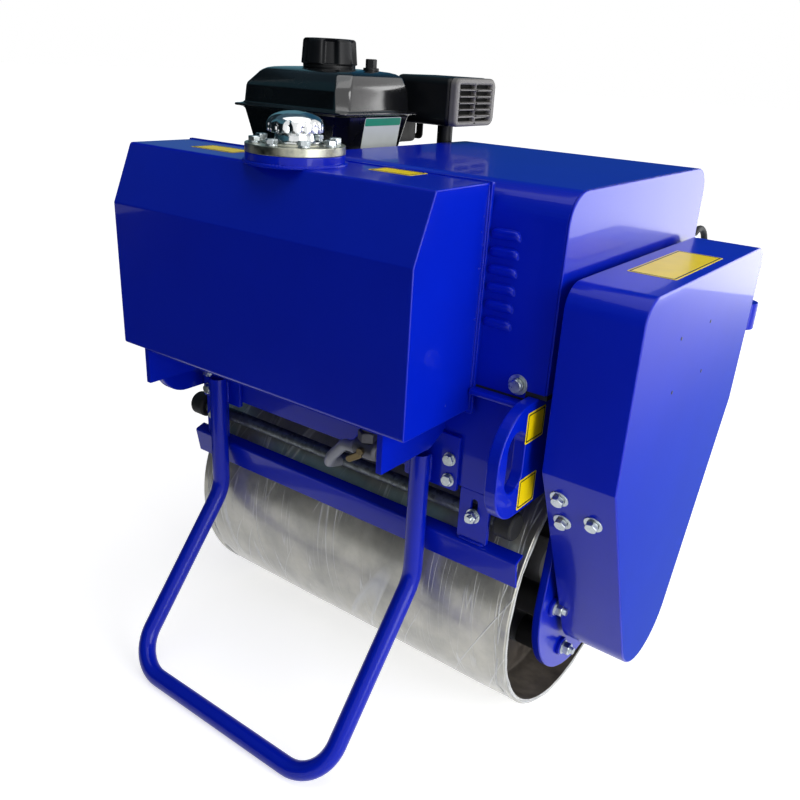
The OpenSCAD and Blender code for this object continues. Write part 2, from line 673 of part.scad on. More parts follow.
// The hose leaves the hood's back, loops over and comes back to a fitting on top of the beam
module hydraulic_hose() color("black") at_axle() {
    beam_top = pivot_z + beam / 2;
    low_z = beam_top + hose_d / 2 + 3;
    rod_y(hood_y0 + hood_len + seat_gap, hood_y0 + hood_len + 16, hose_d + 9, hose_x, hose_z);
    rod_y(hood_y0 + hood_len + 16, hose_y, hose_d, hose_x, hose_z);
    translate([hose_x, hose_y, hose_z]) rotate([0, 90, 0]) bend(hose_r1, 90, hose_d);
    translate([hose_x, hose_y + hose_r1, low_z + hose_r2])
        cylinder(d = hose_d, h = hose_z - hose_r1 - low_z - hose_r2);
    translate([hose_x, hose_y + hose_r1, low_z + hose_r2]) rotate([180, 0, 0]) rotate([90, 0, 90])
        bend(hose_r2, 90, hose_d);
    rod_y(beam_y, hose_y + hose_r1 - hose_r2, hose_d, hose_x, low_z);
    translate([hose_x, beam_y, beam_top + seat_gap]) cylinder(d = 22, h = hose_d + 6);
}

drum_shell();
drum_axle_stubs();
right_yoke();
left_yoke();
right_yoke_cap();
damper_rings();
rubber_dampers();
travel_motor();
front_apron();
rear_apron();
right_side_plate();
left_side_plate();
deck();
oil_tank();
filler_ring();
breather_cap();
tank_shelf();
parking_stand();
stand_plates();
front_scraper();
rear_scraper();
scraper_brackets();
sprinkler_pipe();
sprinkler_valve();
hood();
hood_seal();
engine_block();
recoil_starter();
fuel_tank();
fuel_cap();
air_cleaner();
muffler();
belt_cover();
belt_cover_back();
rear_beam();
handle_pivots();
handle_frame();
grips();
control_box();
travel_lever();
hydraulic_hose();
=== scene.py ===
"""Looks of a walk-behind vibratory roller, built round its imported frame.

Every builder below works in millimetres in the frame's own axes: X along the drum's axle, Y from the front
tank to the operator, Z up. piece() turns a finished surface into a Blender mesh in metres.
"""
import math

import bmesh
import bpy
import numpy as np
from mathutils import Matrix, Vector
from mathutils.geometry import tessellate_polygon


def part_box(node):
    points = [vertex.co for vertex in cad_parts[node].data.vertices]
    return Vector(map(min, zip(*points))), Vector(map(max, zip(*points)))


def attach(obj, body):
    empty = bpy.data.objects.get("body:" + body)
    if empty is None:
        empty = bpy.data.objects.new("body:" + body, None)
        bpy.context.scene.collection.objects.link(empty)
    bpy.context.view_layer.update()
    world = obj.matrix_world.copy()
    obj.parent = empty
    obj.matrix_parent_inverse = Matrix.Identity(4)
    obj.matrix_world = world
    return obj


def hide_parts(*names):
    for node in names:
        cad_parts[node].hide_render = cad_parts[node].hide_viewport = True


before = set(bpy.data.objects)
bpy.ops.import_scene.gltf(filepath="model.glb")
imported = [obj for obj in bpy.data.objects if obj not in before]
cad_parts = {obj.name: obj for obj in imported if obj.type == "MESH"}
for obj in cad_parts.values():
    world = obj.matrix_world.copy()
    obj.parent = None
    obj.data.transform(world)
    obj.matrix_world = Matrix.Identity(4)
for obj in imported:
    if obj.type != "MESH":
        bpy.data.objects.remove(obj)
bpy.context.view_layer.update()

TAU = 2 * math.pi
UP, RIGHT, BACK = (0, 0, 1), (1, 0, 0), (0, 1, 0)
LEFT, FRONT = (-1, 0, 0), (0, -1, 0)
M, D, H = "machine", "drum", "handle"


def reach(node):
    """Lowest and highest corner of a node of the frame, in millimetres."""
    low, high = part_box(node)
    return np.array(low) * 1000, np.array(high) * 1000


# ---------------------------------------------------------------- outlines and surfaces
# A surface is (points, corners, sizes): its points, the point numbers round each face one after another,
# and how many corners each face has.


def unit(v):
    """Each vector divided by its own length."""
    v = np.asarray(v, float)
    return v / np.linalg.norm(v, axis=-1, keepdims=True)


def rounded(corners, radii, steps=5, closed=True):
    """A line through these corners, each rounded by an arc that touches both sides: the arc's points lie
    between its two touching points, weighted by sines of the angle left and the angle gone. Works flat or
    in space."""
    p = np.asarray(corners, float)
    r = np.broadcast_to(np.asarray(radii, float), len(p)).copy()
    mid = slice(None) if closed else slice(1, -1)
    a = unit(np.roll(p, 1, 0) - p + 1e-12)[mid]
    b = unit(np.roll(p, -1, 0) - p + 1e-12)[mid]
    half = np.arccos(np.clip((a * b).sum(1), -1, 1)) / 2
    touch = (r[mid] / np.tan(half))[:, None]
    centre = p[mid] + unit(a + b) * (r[mid] / np.sin(half))[:, None]
    start, end = p[mid] + a * touch - centre, p[mid] + b * touch - centre
    turn = (math.pi - 2 * half)[:, None, None]
    t = np.linspace(0, 1, steps + 1)[None, :, None]
    arc = (np.sin((1 - t) * turn) * start[:, None] + np.sin(t * turn) * end[:, None]) / np.sin(turn)
    line = (centre[:, None] + arc).reshape(-1, p.shape[1])
    return line if closed else np.vstack([p[:1], line, p[-1:]])


def hull_of(discs, steps=180):
    """The tight band round several discs (y, z, radius): in each direction, the point of whichever disc
    reaches furthest that way."""
    d = np.asarray(discs, float)
    angle = np.linspace(0, TAU, steps, endpoint=False)
    way = np.column_stack([np.cos(angle), np.sin(angle)])
    best = (way @ d[:, :2].T + d[:, 2]).argmax(1)
    return d[best, :2] + way * d[best, 2:]


def held(line, by=0.5, closed=True):
    """The same line with a point just inside both ends of every long side, which keeps that side flat to
    the light."""
    line = np.asarray(line, float)
    after = np.roll(line, -1, 0)
    length = np.linalg.norm(after - line, axis=1)
    step = (after - line) / np.maximum(length, 1e-9)[:, None] * by
    long = length > 4 * by
    if not closed:
        long[-1] = False
    keep = np.column_stack([np.full(len(line), True), long, long])
    return np.stack([line, line + step, after - step], 1)[keep]


def wound(loop, sign):
    """The loop turned the way asked for: +1 counter-clockwise, -1 clockwise."""
    x, y = loop.T
    area = (x * np.roll(y, -1) - y * np.roll(x, -1)).sum()
    return loop if area * sign > 0 else loop[::-1]


def inset(loop, by):
    """The loop moved into the material by a distance, each point along the mitre of its two sides."""
    side = unit(np.roll(loop, -1, 0) - loop)
    out = np.column_stack([side[:, 1], -side[:, 0]])
    before = np.roll(out, 1, 0)
    mitre = (out + before) / np.maximum(1 + (out * before).sum(1), 0.2)[:, None]
    return loop - mitre * by


def around(r, angle, z):
    """Points at these radii, angles and heights: radius times cosine, radius times sine, height."""
    return np.stack(np.broadcast_arrays(r * np.cos(angle), r * np.sin(angle), z), -1)


def skin(rows, caps=True, ring=False):
    """Quads between neighbouring rows of points, each row closed on itself. caps closes the first and last
    row with a flat face; ring joins the last row to the first instead."""
    rows = np.asarray(rows, float)
    n, m = rows.shape[:2]
    i = np.arange(n * m).reshape(n, m)
    low, high = (i, np.roll(i, -1, 0)) if ring else (i[:-1], i[1:])
    quads = np.stack([low, np.roll(low, -1, 1), np.roll(high, -1, 1), high], -1).reshape(-1)
    sizes = np.full(len(quads) // 4, 4)
    if caps and not ring:
        quads = np.concatenate([quads, i[0, ::-1], i[-1]])
        sizes = np.append(sizes, [m, m])
    return rows.reshape(-1, 3), quads, sizes


def joined(*surfaces):
    """Several surfaces as one: points and faces one after another, each face's point numbers counted on."""
    start = np.cumsum([0] + [len(s[0]) for s in surfaces])
    return (np.concatenate([s[0] for s in surfaces]),
            np.concatenate([s[1] + k for s, k in zip(surfaces, start)]),
            np.concatenate([s[2] for s in surfaces]))


def put(surface, at=(0, 0, 0), along=UP, across=None):
    """Turns a surface so that its own Z runs along one direction and its own X across it, then carries it
    there."""
    z = unit(along)
    if across is None:
        across = np.cross(BACK if abs(z[1]) < 0.9 else RIGHT, z)
    x = unit(across)
    return (surface[0] @ np.array([x, np.cross(z, x), z]) + np.asarray(at, float), *surface[1:])


def mirrored(surface, centre=0.0, axis=0):
    """The surface's twin on the other side of a plane that stands square to an axis."""
    points = surface[0].copy()
    points[:, axis] = 2 * centre - points[:, axis]
    return (points, *surface[1:])


def slab(outline, thick, edge=1.0, holes=()):
    """A plate: outline in X and Y, thickness along Z. Rings of the outline climb from face to face and are
    moved inwards along a quarter circle at both faces, so that every edge is rounded. Holes run the other
    way round."""
    turn = np.linspace(0, math.pi / 2, 4)
    rim = [(0, edge + 0.6)] + list(zip(edge * (1 - np.cos(turn)), edge * (1 - np.sin(turn))))
    flat = [(edge + 0.5, 0), (thick - edge - 0.5, 0)] if thick > 2 * edge + 1.2 else []
    rings = rim + flat + [(thick - d, m) for d, m in rim[::-1]]
    loops = [wound(held(outline), 1)] + [wound(held(hole), -1) for hole in holes]
    walls = [skin([np.column_stack([inset(l, m), np.full(len(l), d)]) for d, m in rings], caps=not len(holes))
             for l in loops]
    if len(holes):
        for d, m in (rings[0], rings[-1]):
            edges = [np.column_stack([inset(l, m), np.full(len(l), d)]) for l in loops]
            tris = np.array(tessellate_polygon([e.tolist() for e in edges])).reshape(-1)
            walls.append((np.concatenate(edges), tris, np.full(len(tris) // 3, 3)))
    return joined(*walls)


def plate_x(outline, x0, x1, edge=1.0, holes=()):
    """A plate across X between two places; its outline is in Y and Z."""
    return put(slab(outline, x1 - x0, edge, holes), (x0, 0, 0), RIGHT, BACK)


def plate_y(outline, y0, y1, edge=1.0, holes=()):
    """A plate across Y between two places; its outline is in X and Z."""
    return put(slab(outline, y1 - y0, edge, holes), (0, y1, 0), FRONT, RIGHT)


def plate_z(outline, z0, z1, edge=1.0, holes=()):
    """A level plate between two heights; its outline is in X and Y."""
    return put(slab(outline, z1 - z0, edge, holes), (0, 0, z0), UP, RIGHT)


def box_line(x0, y0, x1, y1, r=3.0, steps=5):
    """A rectangle with rounded corners."""
    return rounded([(x0, y0), (x1, y0), (x1, y1), (x0, y1)], r, steps)


def block(low, high, r=3.0, edge=1.5):
    """A box between two corners, its upright edges rounded by r and the others by edge."""
    return plate_z(box_line(low[0], low[1], high[0], high[1], r), low[2], high[2], edge)


def disc_line(y, z, r, steps=48):
    """A circle."""
    angle = np.linspace(0, TAU, steps, endpoint=False)
    return np.column_stack([y + r * np.cos(angle), z + r * np.sin(angle)])


def turned(profile, radii=0.8, steps=64, wave=None, ring=False, arc=3):
    """A turned piece about its own Z: every point of the profile, its radius and height, goes once round.
    wave gives the radius from the profile's radius, the angle and the height."""
    line = held(rounded(profile, radii, arc, closed=ring), 0.5, closed=ring)
    angle = np.linspace(0, TAU, steps, endpoint=False)
    r, z = line[:, :1] + 0 * angle, line[:, 1:] + 0 * angle
    if wave is not None:
        r = wave(r, angle[None], z)
    return skin(around(r, angle, z), ring=ring)


def rod(r, length, edge=0.8, steps=32, foot=0.0):
    """A plain round rod along Z that starts at foot."""
    return turned([(1, foot), (r, foot), (r, foot + length), (1, foot + length)], edge, steps)


def sleeve(r, bore, length, edge, steps, arc=3):
    """A short tube along Z with a straight bore."""
    return turned([(bore, 0), (r, 0), (r, length), (bore, length)], edge, steps, ring=True, arc=arc)


def pipe(path, radius, steps=28, wall=0.0):
    """A round section carried along a path, its two side directions square to the path and to one fixed
    direction. With a wall, both ends open into a short bore. radius may change along the path."""
    path = np.asarray(path, float)
    way = unit(np.gradient(path, axis=0))
    side = unit(np.cross(way, (0.6, 0.6, -0.53)))
    other = np.cross(way, side)
    row, size, push = np.arange(len(path)), np.full(len(path), 1.0) * radius, np.zeros(len(path))
    if wall:
        last = len(path) - 1
        row = np.concatenate([[0, 0, 0], row, [last, last, last]])
        inner, ease = size[0] - wall, size[0] - wall / 2
        size = np.concatenate([[inner, inner, ease], size, [ease, inner, inner]])
        push = np.concatenate([[40, 0.6, 0], push, [0, -0.6, -40]])
    angle = np.linspace(0, TAU, steps, endpoint=False)
    centre = path[row] + way[row] * push[:, None]
    rows = (centre[:, None] + size[:, None, None] * (side[row][:, None] * np.cos(angle)[None, :, None]
                                                     + other[row][:, None] * np.sin(angle)[None, :, None]))
    return skin(rows)


def bead(start, end, r=2.2, pitch=3.2):
    """A weld bead: a thin pipe whose radius swells and shrinks once per ripple."""
    length = np.linalg.norm(np.subtract(end, start))
    t = np.linspace(0, 1, max(int(length / pitch * 4), 8))
    path = np.outer(1 - t, start) + np.outer(t, end)
    ripple = 1 + 0.13 * np.sin(TAU * t * length / pitch) + 0.08 * np.sin(t * length * 0.31 + 2)
    return pipe(path, r * ripple * np.minimum(1, 0.35 + 8 * np.minimum(t, 1 - t)), 10)


def ring_bead(r, z, width=2.2, count=90):
    """A weld bead round a boss, rippled along its way round."""
    angle = np.linspace(0, TAU, count * 3, endpoint=False)
    out = np.linspace(0, TAU, 10, endpoint=False)
    w = width * (1 + 0.12 * np.sin(angle * count))[:, None]
    return skin(around(r + w * np.cos(out), angle[:, None], z + w * np.sin(out)), ring=True)


def hexagon_head(flats, height):
    """A hexagon head: at each height its radius is the lesser of the hexagon's and of the chamfer's
    cone."""
    z = height - flats * np.array([0, 0, 0.035, 0.07, 0.11, 0.2, 9])
    z = np.maximum(z, 0)[::-1, None]
    angle = np.linspace(0, TAU, 48, endpoint=False)[None]
    hexa = flats / 2 / np.cos((angle + math.pi / 6) % (TAU / 6) - math.pi / 6)
    cone = flats / 2 * 0.97 + (height - z) * 1.5
    r = np.minimum(hexa, cone)
    r[-1] = flats * 0.36
    return skin(around(r, angle, z))


def bolt(at, along, size=8.0, turn=0.3, plates=((2.0, 1.6),), nut=False):
    """A hexagon bolt or a nut on its stud. plates are its washers: radius over the bolt's size, and
    thickness."""
    stack, made = 0.0, []
    for wide, thick in plates:
        washer = sleeve(size * wide / 2, size * 0.45, thick, min(0.4, thick / 3), 40, 2)
        made.append(put(washer, (0, 0, stack)))
        stack += thick
    head = hexagon_head(size * 1.62, size * (0.8 if nut else 0.65))
    made.append(put(head, (0, 0, stack), UP, (math.cos(turn), math.sin(turn), 0)))
    if nut:
        top = stack + size * 0.8
        teeth = np.arange(top, top + size * 0.55, 0.5)
        line = np.column_stack([size / 2 - 0.25 + 0.25 * (np.arange(len(teeth)) % 2), teeth])
        angle = np.linspace(0, TAU, 20, endpoint=False)
        made.append(skin(around(line[:, :1], angle, line[:, 1:])))
    return put(joined(*made), at, along)


def label(at, along, across, wide, tall, thick=0.35):
    """A thin plate with rounded corners, centred on its place."""
    outline = box_line(-wide / 2, -tall / 2, wide / 2, tall / 2, 2.5, 4)
    return put(slab(outline, thick, 0.1), at, along, across)


def label_line(at, along, across, wide, tall, line=1.7, margin=2.2):
    """The printed line round a label, a narrow frame a hair above it."""
    w, h = wide / 2 - margin, tall / 2 - margin
    outer = box_line(-w, -h, w, h, 1.6, 3)
    inner = box_line(-w + line, -h + line, w - line, h - line, 0.8, 3)
    return put(slab(outer, 0.2, 0.05, [inner]), np.asarray(at) + unit(along) * 0.3, along, across)


def piece(name, body, slot, finish, *surfaces, stands_for=(), sharp=33):
    """Makes one Blender object from surfaces: doubled points merged, faces turned outwards, edges sharper
    than an angle kept sharp, riding on a body of the frame."""
    points, corners, sizes = joined(*surfaces)
    mesh = bpy.data.meshes.new(name)
    mesh.vertices.add(len(points))
    mesh.vertices.foreach_set("co", (points * 0.001).ravel())
    mesh.loops.add(len(corners))
    mesh.loops.foreach_set("vertex_index", corners.astype(np.int32))
    mesh.polygons.add(len(sizes))
    mesh.polygons.foreach_set("loop_start", (np.cumsum(sizes) - sizes).astype(np.int32))
    mesh.update(calc_edges=True)
    mesh.validate()
    work = bmesh.new()
    work.from_mesh(mesh)
    bmesh.ops.remove_doubles(work, verts=work.verts, dist=2e-6)
    bmesh.ops.recalc_face_normals(work, faces=work.faces)
    work.to_mesh(mesh)
    work.free()
    mesh.shade_smooth()
    mesh.set_sharp_from_angle(angle=math.radians(sharp))
    mesh.materials.append(finish)
    made = bpy.data.objects.new(name, mesh)
    bpy.context.scene.collection.objects.link(made)
    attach(made, body)
    if stands_for:
        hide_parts(*stands_for)
    return made


# ---------------------------------------------------------------- finishes


def colour(text):
    """An sRGB hex value as a linear colour."""
    c = np.array([int(text[k:k + 2], 16) for k in (1, 3, 5)]) / 255
    return (*np.where(c <= 0.04045, c / 12.92, ((c + 0.055) / 1.055) ** 2.4).tolist(), 1.0)


def add(tree, kind, inputs=None, **settings):
    """Adds one node with its settings. Each input gets a value, or a link where a socket is given."""
    made = tree.nodes.new(kind)
    for key, value in settings.items():
        setattr(made, key, value)
    for key, value in (inputs or {}).items():
        if isinstance(value, bpy.types.NodeSocket):
            tree.links.new(value, made.inputs[key])
        else:
            made.inputs[key].default_value = value
    return made


def start(name, **values):
    """A new material with its plain shader values; returns it with its node tree, its shader and the
    coordinates that its patterns are laid out on."""
    made = bpy.data.materials.new(name)
    made.use_nodes = True
    tree = made.node_tree
    shader = tree.nodes["Principled BSDF"]
    for key, value in values.items():
        shader.inputs[key.replace("_", " ")].default_value = value
    where = add(tree, "ShaderNodeTexCoord").outputs["Object"]
    return made, tree, shader, where


def noise(tree, where, grain_mm, detail, rough=0.5):
    """A pattern of soft humps this many millimetres across; more detail and rough make them more broken."""
    return add(tree, "ShaderNodeTexNoise", {"Vector": where, "Scale": 1000 / grain_mm, "Detail": detail,
                                            "Roughness": rough}).outputs["Fac"]


def worked(tree, operation, *values):
    """One step of arithmetic on patterns and numbers."""
    return add(tree, "ShaderNodeMath", dict(enumerate(values)), operation=operation).outputs["Value"]


def ranged(tree, pattern, source, target, **settings):
    """A pattern carried from one range of values over to another and held at its ends."""
    return add(tree, "ShaderNodeMapRange", {"Value": pattern, "From Min": source[0], "From Max": source[1],
                                            "To Min": target[0], "To Max": target[1]},
               **settings).outputs["Result"]


def toned(tree, pattern, dark, light, low=0.0, high=1.0):
    """A pattern as a colour: dark up to one value, light from another, and a blend between."""
    made = add(tree, "ShaderNodeValToRGB", {"Fac": pattern})
    for stop, place, tone in zip(made.color_ramp.elements, (low, high), (dark, light)):
        stop.position, stop.color = place, colour(tone)
    return made.outputs["Color"]


def blended(tree, share, first, second):
    """Two colours mixed by a share, which is 0 for the first and 1 for the second."""
    return add(tree, "ShaderNodeMix", {"Factor": share, 6: first, 7: second}, data_type="RGBA").outputs[2]


def two_tone(tree, shader, where, grain_mm, dark, light, detail, spread):
    """Colour that wanders between two tones over patches of a real size; returns the patch pattern."""
    patch = noise(tree, where, grain_mm, detail, 0.6)
    tone = toned(tree, patch, dark, light, 0.5 - spread, 0.5 + spread)
    tree.links.new(tone, shader.inputs["Base Color"])
    return patch


def sheen_range(tree, shader, pattern, low, high):
    """Roughness that follows a pattern between two values."""
    tree.links.new(ranged(tree, pattern, (0.3, 0.7), (low, high)), shader.inputs["Roughness"])


def relief(tree, shader, pattern, height_mm, strength=1.0, edge_mm=0.0, under=None):
    """Height from a pattern, in real millimetres; edge_mm softens the light on sharp sheet edges."""
    inputs = {"Height": pattern, "Distance": height_mm / 1000, "Strength": strength}
    if under is not None:
        inputs["Normal"] = under
    elif edge_mm:
        edge = add(tree, "ShaderNodeBevel", {"Radius": edge_mm / 1000}, samples=4)
        inputs["Normal"] = edge.outputs["Normal"]
    bump = add(tree, "ShaderNodeBump", inputs).outputs["Normal"]
    tree.links.new(bump, shader.inputs["Normal"])
    return bump


def powder_coat(name, dark, light):
    """Gloss polyester powder coat on steel sheet: deep even colour, a slow orange peel 5 mm from hump to
    hump, small rises over edges and a clear wet shine."""
    made, tree, shader, where = start(name, Roughness=0.3, IOR=1.5, Specular_IOR_Level=0.12,
                                      Coat_Weight=0.3, Coat_Roughness=0.04, Coat_IOR=1.45)
    two_tone(tree, shader, where, 160, dark, light, 3.0, 0.3)
    first = relief(tree, shader, noise(tree, where, 60.0, 0.0), 0.3, 0.3, 0.9)
    relief(tree, shader, noise(tree, where, 5.0, 1.5, 0.45), 0.04, 0.55, under=first)
    return made


def zinc_plate(name, dark, light, rough):
    """Zinc-plated and passivated steel: soft grey shine with cloudy patches and fine scratches."""
    made, tree, shader, where = start(name, Metallic=1.0, Roughness=rough)
    patch = two_tone(tree, shader, where, 9, dark, light, 5.0, 0.22)
    sheen_range(tree, shader, patch, rough - 0.08, rough + 0.12)
    relief(tree, shader, noise(tree, where, 0.8, 3.0), 0.03, 0.5, 0.4)
    return made


def moulded(name, dark, light, rough, grain_mm, height_mm, shine=0.5, coat=0.0):
    """Moulded plastic or rubber: one colour, a fine even texture from the mould and a soft shine."""
    made, tree, shader, where = start(name, Roughness=rough, IOR=1.49, Specular_IOR_Level=shine,
                                      Coat_Weight=coat, Coat_Roughness=0.12)
    patch = two_tone(tree, shader, where, 70, dark, light, 5.0, 0.3)
    sheen_range(tree, shader, patch, rough - 0.05, rough + 0.08)
    relief(tree, shader, noise(tree, where, grain_mm, 2.0), height_mm, 0.7, 0.7)
    return made


def cast_metal(name, dark, light, rough, metallic=1.0, grain_mm=2.2):
    """Sand- or die-cast metal: pebbled skin whose tone wanders over patches."""
    made, tree, shader, where = start(name, Metallic=metallic, Roughness=rough)
    patch = two_tone(tree, shader, where, 30, dark, light, 6.0, 0.25)
    sheen_range(tree, shader, patch, rough - 0.06, rough + 0.12)
    relief(tree, shader, noise(tree, where, grain_mm, 4.0), 0.15, 0.6, 0.8)
    return made


def threads(tree, where, wide_mm, slant, thin, patch_mm):
    """Fine lines that run round the drum: the places where a noise, drawn out along the drum's turn and
    sheared by a slant, passes through its middle value; a second noise lets them start and stop."""
    bend = add(tree, "ShaderNodeTexNoise", {"Vector": where, "Scale": 1000 / 240, "Detail": 1.0})
    push = add(tree, "ShaderNodeVectorMath", {0: bend.outputs["Color"], 3: 0.016}, operation="SCALE")
    moved = add(tree, "ShaderNodeVectorMath", {0: where, 1: push.outputs["Vector"]}, operation="ADD")
    part = add(tree, "ShaderNodeSeparateXYZ", {"Vector": moved.outputs["Vector"]})
    lean = worked(tree, "MULTIPLY_ADD", part.outputs["Z"], slant, part.outputs["X"])
    slow = {axis: worked(tree, "MULTIPLY", part.outputs[axis], 0.035) for axis in "YZ"}
    long = add(tree, "ShaderNodeCombineXYZ", {"X": lean, **slow}).outputs["Vector"]
    near = worked(tree, "ABSOLUTE", worked(tree, "ADD", noise(tree, long, wide_mm, 0.0), -0.5))
    line = ranged(tree, near, (0.0, thin), (1.0, 0.0))
    gate = ranged(tree, noise(tree, where, patch_mm, 2.0), (0.46, 0.6), (0.0, 1.0))
    return worked(tree, "MULTIPLY", line, gate)


def film_wrapped_steel():
    """Rolled steel under clear stretch film: grey metal with cloudy brown patches, thin pale creases that
    run round the drum and a few that cross them, and slack ripples between."""
    made, tree, shader, where = start("film_wrapped_rolled_steel", Roughness=0.36, IOR=1.5,
                                      Coat_Weight=0.7, Coat_Roughness=0.12, Coat_IOR=1.45)
    tone = toned(tree, noise(tree, where, 70, 7.0, 0.62), "#96968f", "#c3c1b5", 0.3, 0.7)
    fine = threads(tree, where, 34, 0.10, 0.010, 130)
    cross = threads(tree, where, 85, -0.45, 0.008, 170)
    hair = threads(tree, where, 11, 0.03, 0.020, 60)
    lines = worked(tree, "MAXIMUM", worked(tree, "MAXIMUM", fine, cross), worked(tree, "MULTIPLY", hair, 0.6))
    creased = blended(tree, worked(tree, "MULTIPLY", lines, 0.8), tone, colour("#e9ebe8"))
    tree.links.new(creased, shader.inputs["Base Color"])
    tree.links.new(ranged(tree, lines, (0.0, 1.0), (0.6, 0.1)), shader.inputs["Metallic"])
    drawn_out = add(tree, "ShaderNodeMapping", {"Vector": where, "Scale": (1.0, 0.35, 0.35)})
    slack = noise(tree, drawn_out.outputs["Vector"], 26, 5.0, 0.6)
    sheen_range(tree, shader, slack, 0.28, 0.46)
    first = relief(tree, shader, slack, 2.2, 0.5)
    relief(tree, shader, lines, 0.7, 0.8, under=first)
    return made


def brushed_pipe():
    """Galvanised pipe dulled by dust: dark grey zinc with spangle a few millimetres across."""
    made, tree, shader, where = start("galvanised_pipe", Metallic=0.85, Roughness=0.48)
    cell = add(tree, "ShaderNodeTexVoronoi", {"Vector": where, "Scale": 1000 / 6})
    tree.links.new(toned(tree, cell.outputs["Color"], "#4f5456", "#7b8184"), shader.inputs["Base Color"])
    relief(tree, shader, noise(tree, where, 3, 4.0), 0.1, 0.5)
    return made


def printed(name, base, rough=0.35):
    """Printed vinyl: flat ink under a thin clear laminate that lifts a little where it was rubbed down."""
    made, tree, shader, where = start(name, Base_Color=colour(base), Roughness=rough,
                                      Specular_IOR_Level=0.3, Coat_Weight=0.1, Coat_Roughness=0.1)
    lift = noise(tree, where, 25, 2.0)
    shade = ranged(tree, lift, (0.0, 1.0), (0.92, 1.06))
    tone = add(tree, "ShaderNodeVectorMath", {0: colour(base)[:3], 3: shade}, operation="SCALE")
    tree.links.new(tone.outputs["Vector"], shader.inputs["Base Color"])
    relief(tree, shader, lift, 0.25, 0.4)
    return made


# Ultramarine polyester on every plate and tube: saturated, and a mirror wherever it is seen along its face.
blue = powder_coat("ultramarine_powder_coat", "#001bb4", "#001fbe")
# The drum's running face: bright grey with pale threads of creased film.
film = film_wrapped_steel()
# Film bunched at the drum's rims: milky strands with a wet shine.
film_edge = moulded("gathered_clear_film", "#b9bcb9", "#dfe1dd", 0.18, 6.0, 0.8, 0.5, 0.6)
# Rolled plate left unpainted inside the drum: a dark brown-grey oxide skin, half dull.
mill_steel = cast_metal("drum_inside_mill_scale", "#38332f", "#6a6259", 0.55, 0.5, 5.0)
# Turned stub axles: mid-grey metal with a soft line of light.
axle_steel = cast_metal("machined_axle_steel", "#6d6e70", "#8f9092", 0.35, 1.0, 3.0)
# Bolts, nuts and washers: pale cool grey that sparkles on its edges.
zinc = zinc_plate("zinc_plated_fasteners", "#a3adb2", "#cfd5d6", 0.3)
# The filler's ring, passivated a faint yellow.
ring_zinc = zinc_plate("yellow_passivated_ring", "#8f9187", "#c4c3b0", 0.34)
# The breather's dome and the lever: bright chrome that holds dark and white streaks side by side.
chrome = zinc_plate("polished_chrome", "#d5d8da", "#eceeee", 0.12)
# Cast iron under thin black paint: satin, with a coarse skin. The damper rings and the cover's rivet heads
# take it too, as painted shade.
steel_black = cast_metal("black_casting_and_painted_shade", "#15171a", "#25282b", 0.42, 0.0, 1.6)
# Engine castings: light grey aluminium, dulled by its pebbled skin.
aluminium = cast_metal("die_cast_aluminium", "#85878a", "#a9abad", 0.42, 0.9, 2.0)
# The fuel tank's gloss black paint: almost no colour of its own, a hard clear shine.
tank_black = moulded("gloss_black_fuel_tank", "#07080a", "#0b0c0f", 0.22, 3.0, 0.03, 0.5, 1.0)
# Moulded caps and knobs in black nylon: satin.
cap_black = moulded("satin_black_nylon", "#0a0b0d", "#121417", 0.38, 0.9, 0.06, 0.25)
# Moulded covers with a fine leather grain from the mould.
cover_black = moulded("textured_black_cover", "#090b0e", "#111417", 0.36, 0.8, 0.06, 0.22)
# The air cleaner's end, a mid-grey plastic that shows its bars.
grille_grey = moulded("grey_filter_grille", "#6d6b69", "#7d7a77", 0.36, 0.8, 0.05, 0.3)
# Dampers, caps and hose: matt black rubber.
rubber = moulded("black_rubber", "#101113", "#1c1d1f", 0.62, 1.4, 0.1, 0.35)
# The grips' softer, duller rubber.
grip_rubber = moulded("ribbed_grip_rubber", "#111214", "#1b1c1e", 0.68, 1.0, 0.1, 0.3)
# Heatproof paint on the muffler, browned by use and rough.
muffler_black = cast_metal("heatproof_black_muffler", "#1b1a19", "#34312d", 0.6, 0.2, 1.2)
# The sprinkler's galvanised pipe.
pipe_zinc = brushed_pipe()
# Old brass: brown-gold, cloudy.
brass = cast_metal("cast_brass_fitting", "#5d5340", "#80714f", 0.45, 1.0, 1.5)
# The tap's nickel gone dull: a grey with a trace of violet.
tap_grey = cast_metal("dull_tap_body", "#45454b", "#6c6c72", 0.45, 0.6, 2.5)
# Grey plastic water hose, slightly shiny.
hose_grey = moulded("grey_water_hose", "#7d8087", "#9da0a8", 0.35, 2.0, 0.15, 0.4)
# Label vinyl, paper, band and ink: flat even colours under a faint laminate.
yellow = printed("yellow_vinyl_label", "#ffe000")
white = printed("white_paper_label", "#dfe5e3", 0.4)
green = printed("green_label_band", "#129a78", 0.4)
ink = printed("black_label_ink", "#121314", 0.45)
# Foam behind the grille, its open cells made near-black: painted shade seen through the slots.
shadow_black = moulded("foam_filter_painted_shade", "#050506", "#0a0a0b", 0.8, 2.5, 0.4, 0.2)

# ---------------------------------------------------------------- drum
low, high = reach("drum_shell")
drum_y, drum_z = (low[1] + high[1]) / 2, (low[2] + high[2]) / 2
drum_r, drum_half = (high[2] - low[2]) / 2, high[0]
axle = (0, drum_y, drum_z)
bore_r = drum_r - 8.0
web_x = 230.0
hub_bore = 31.2


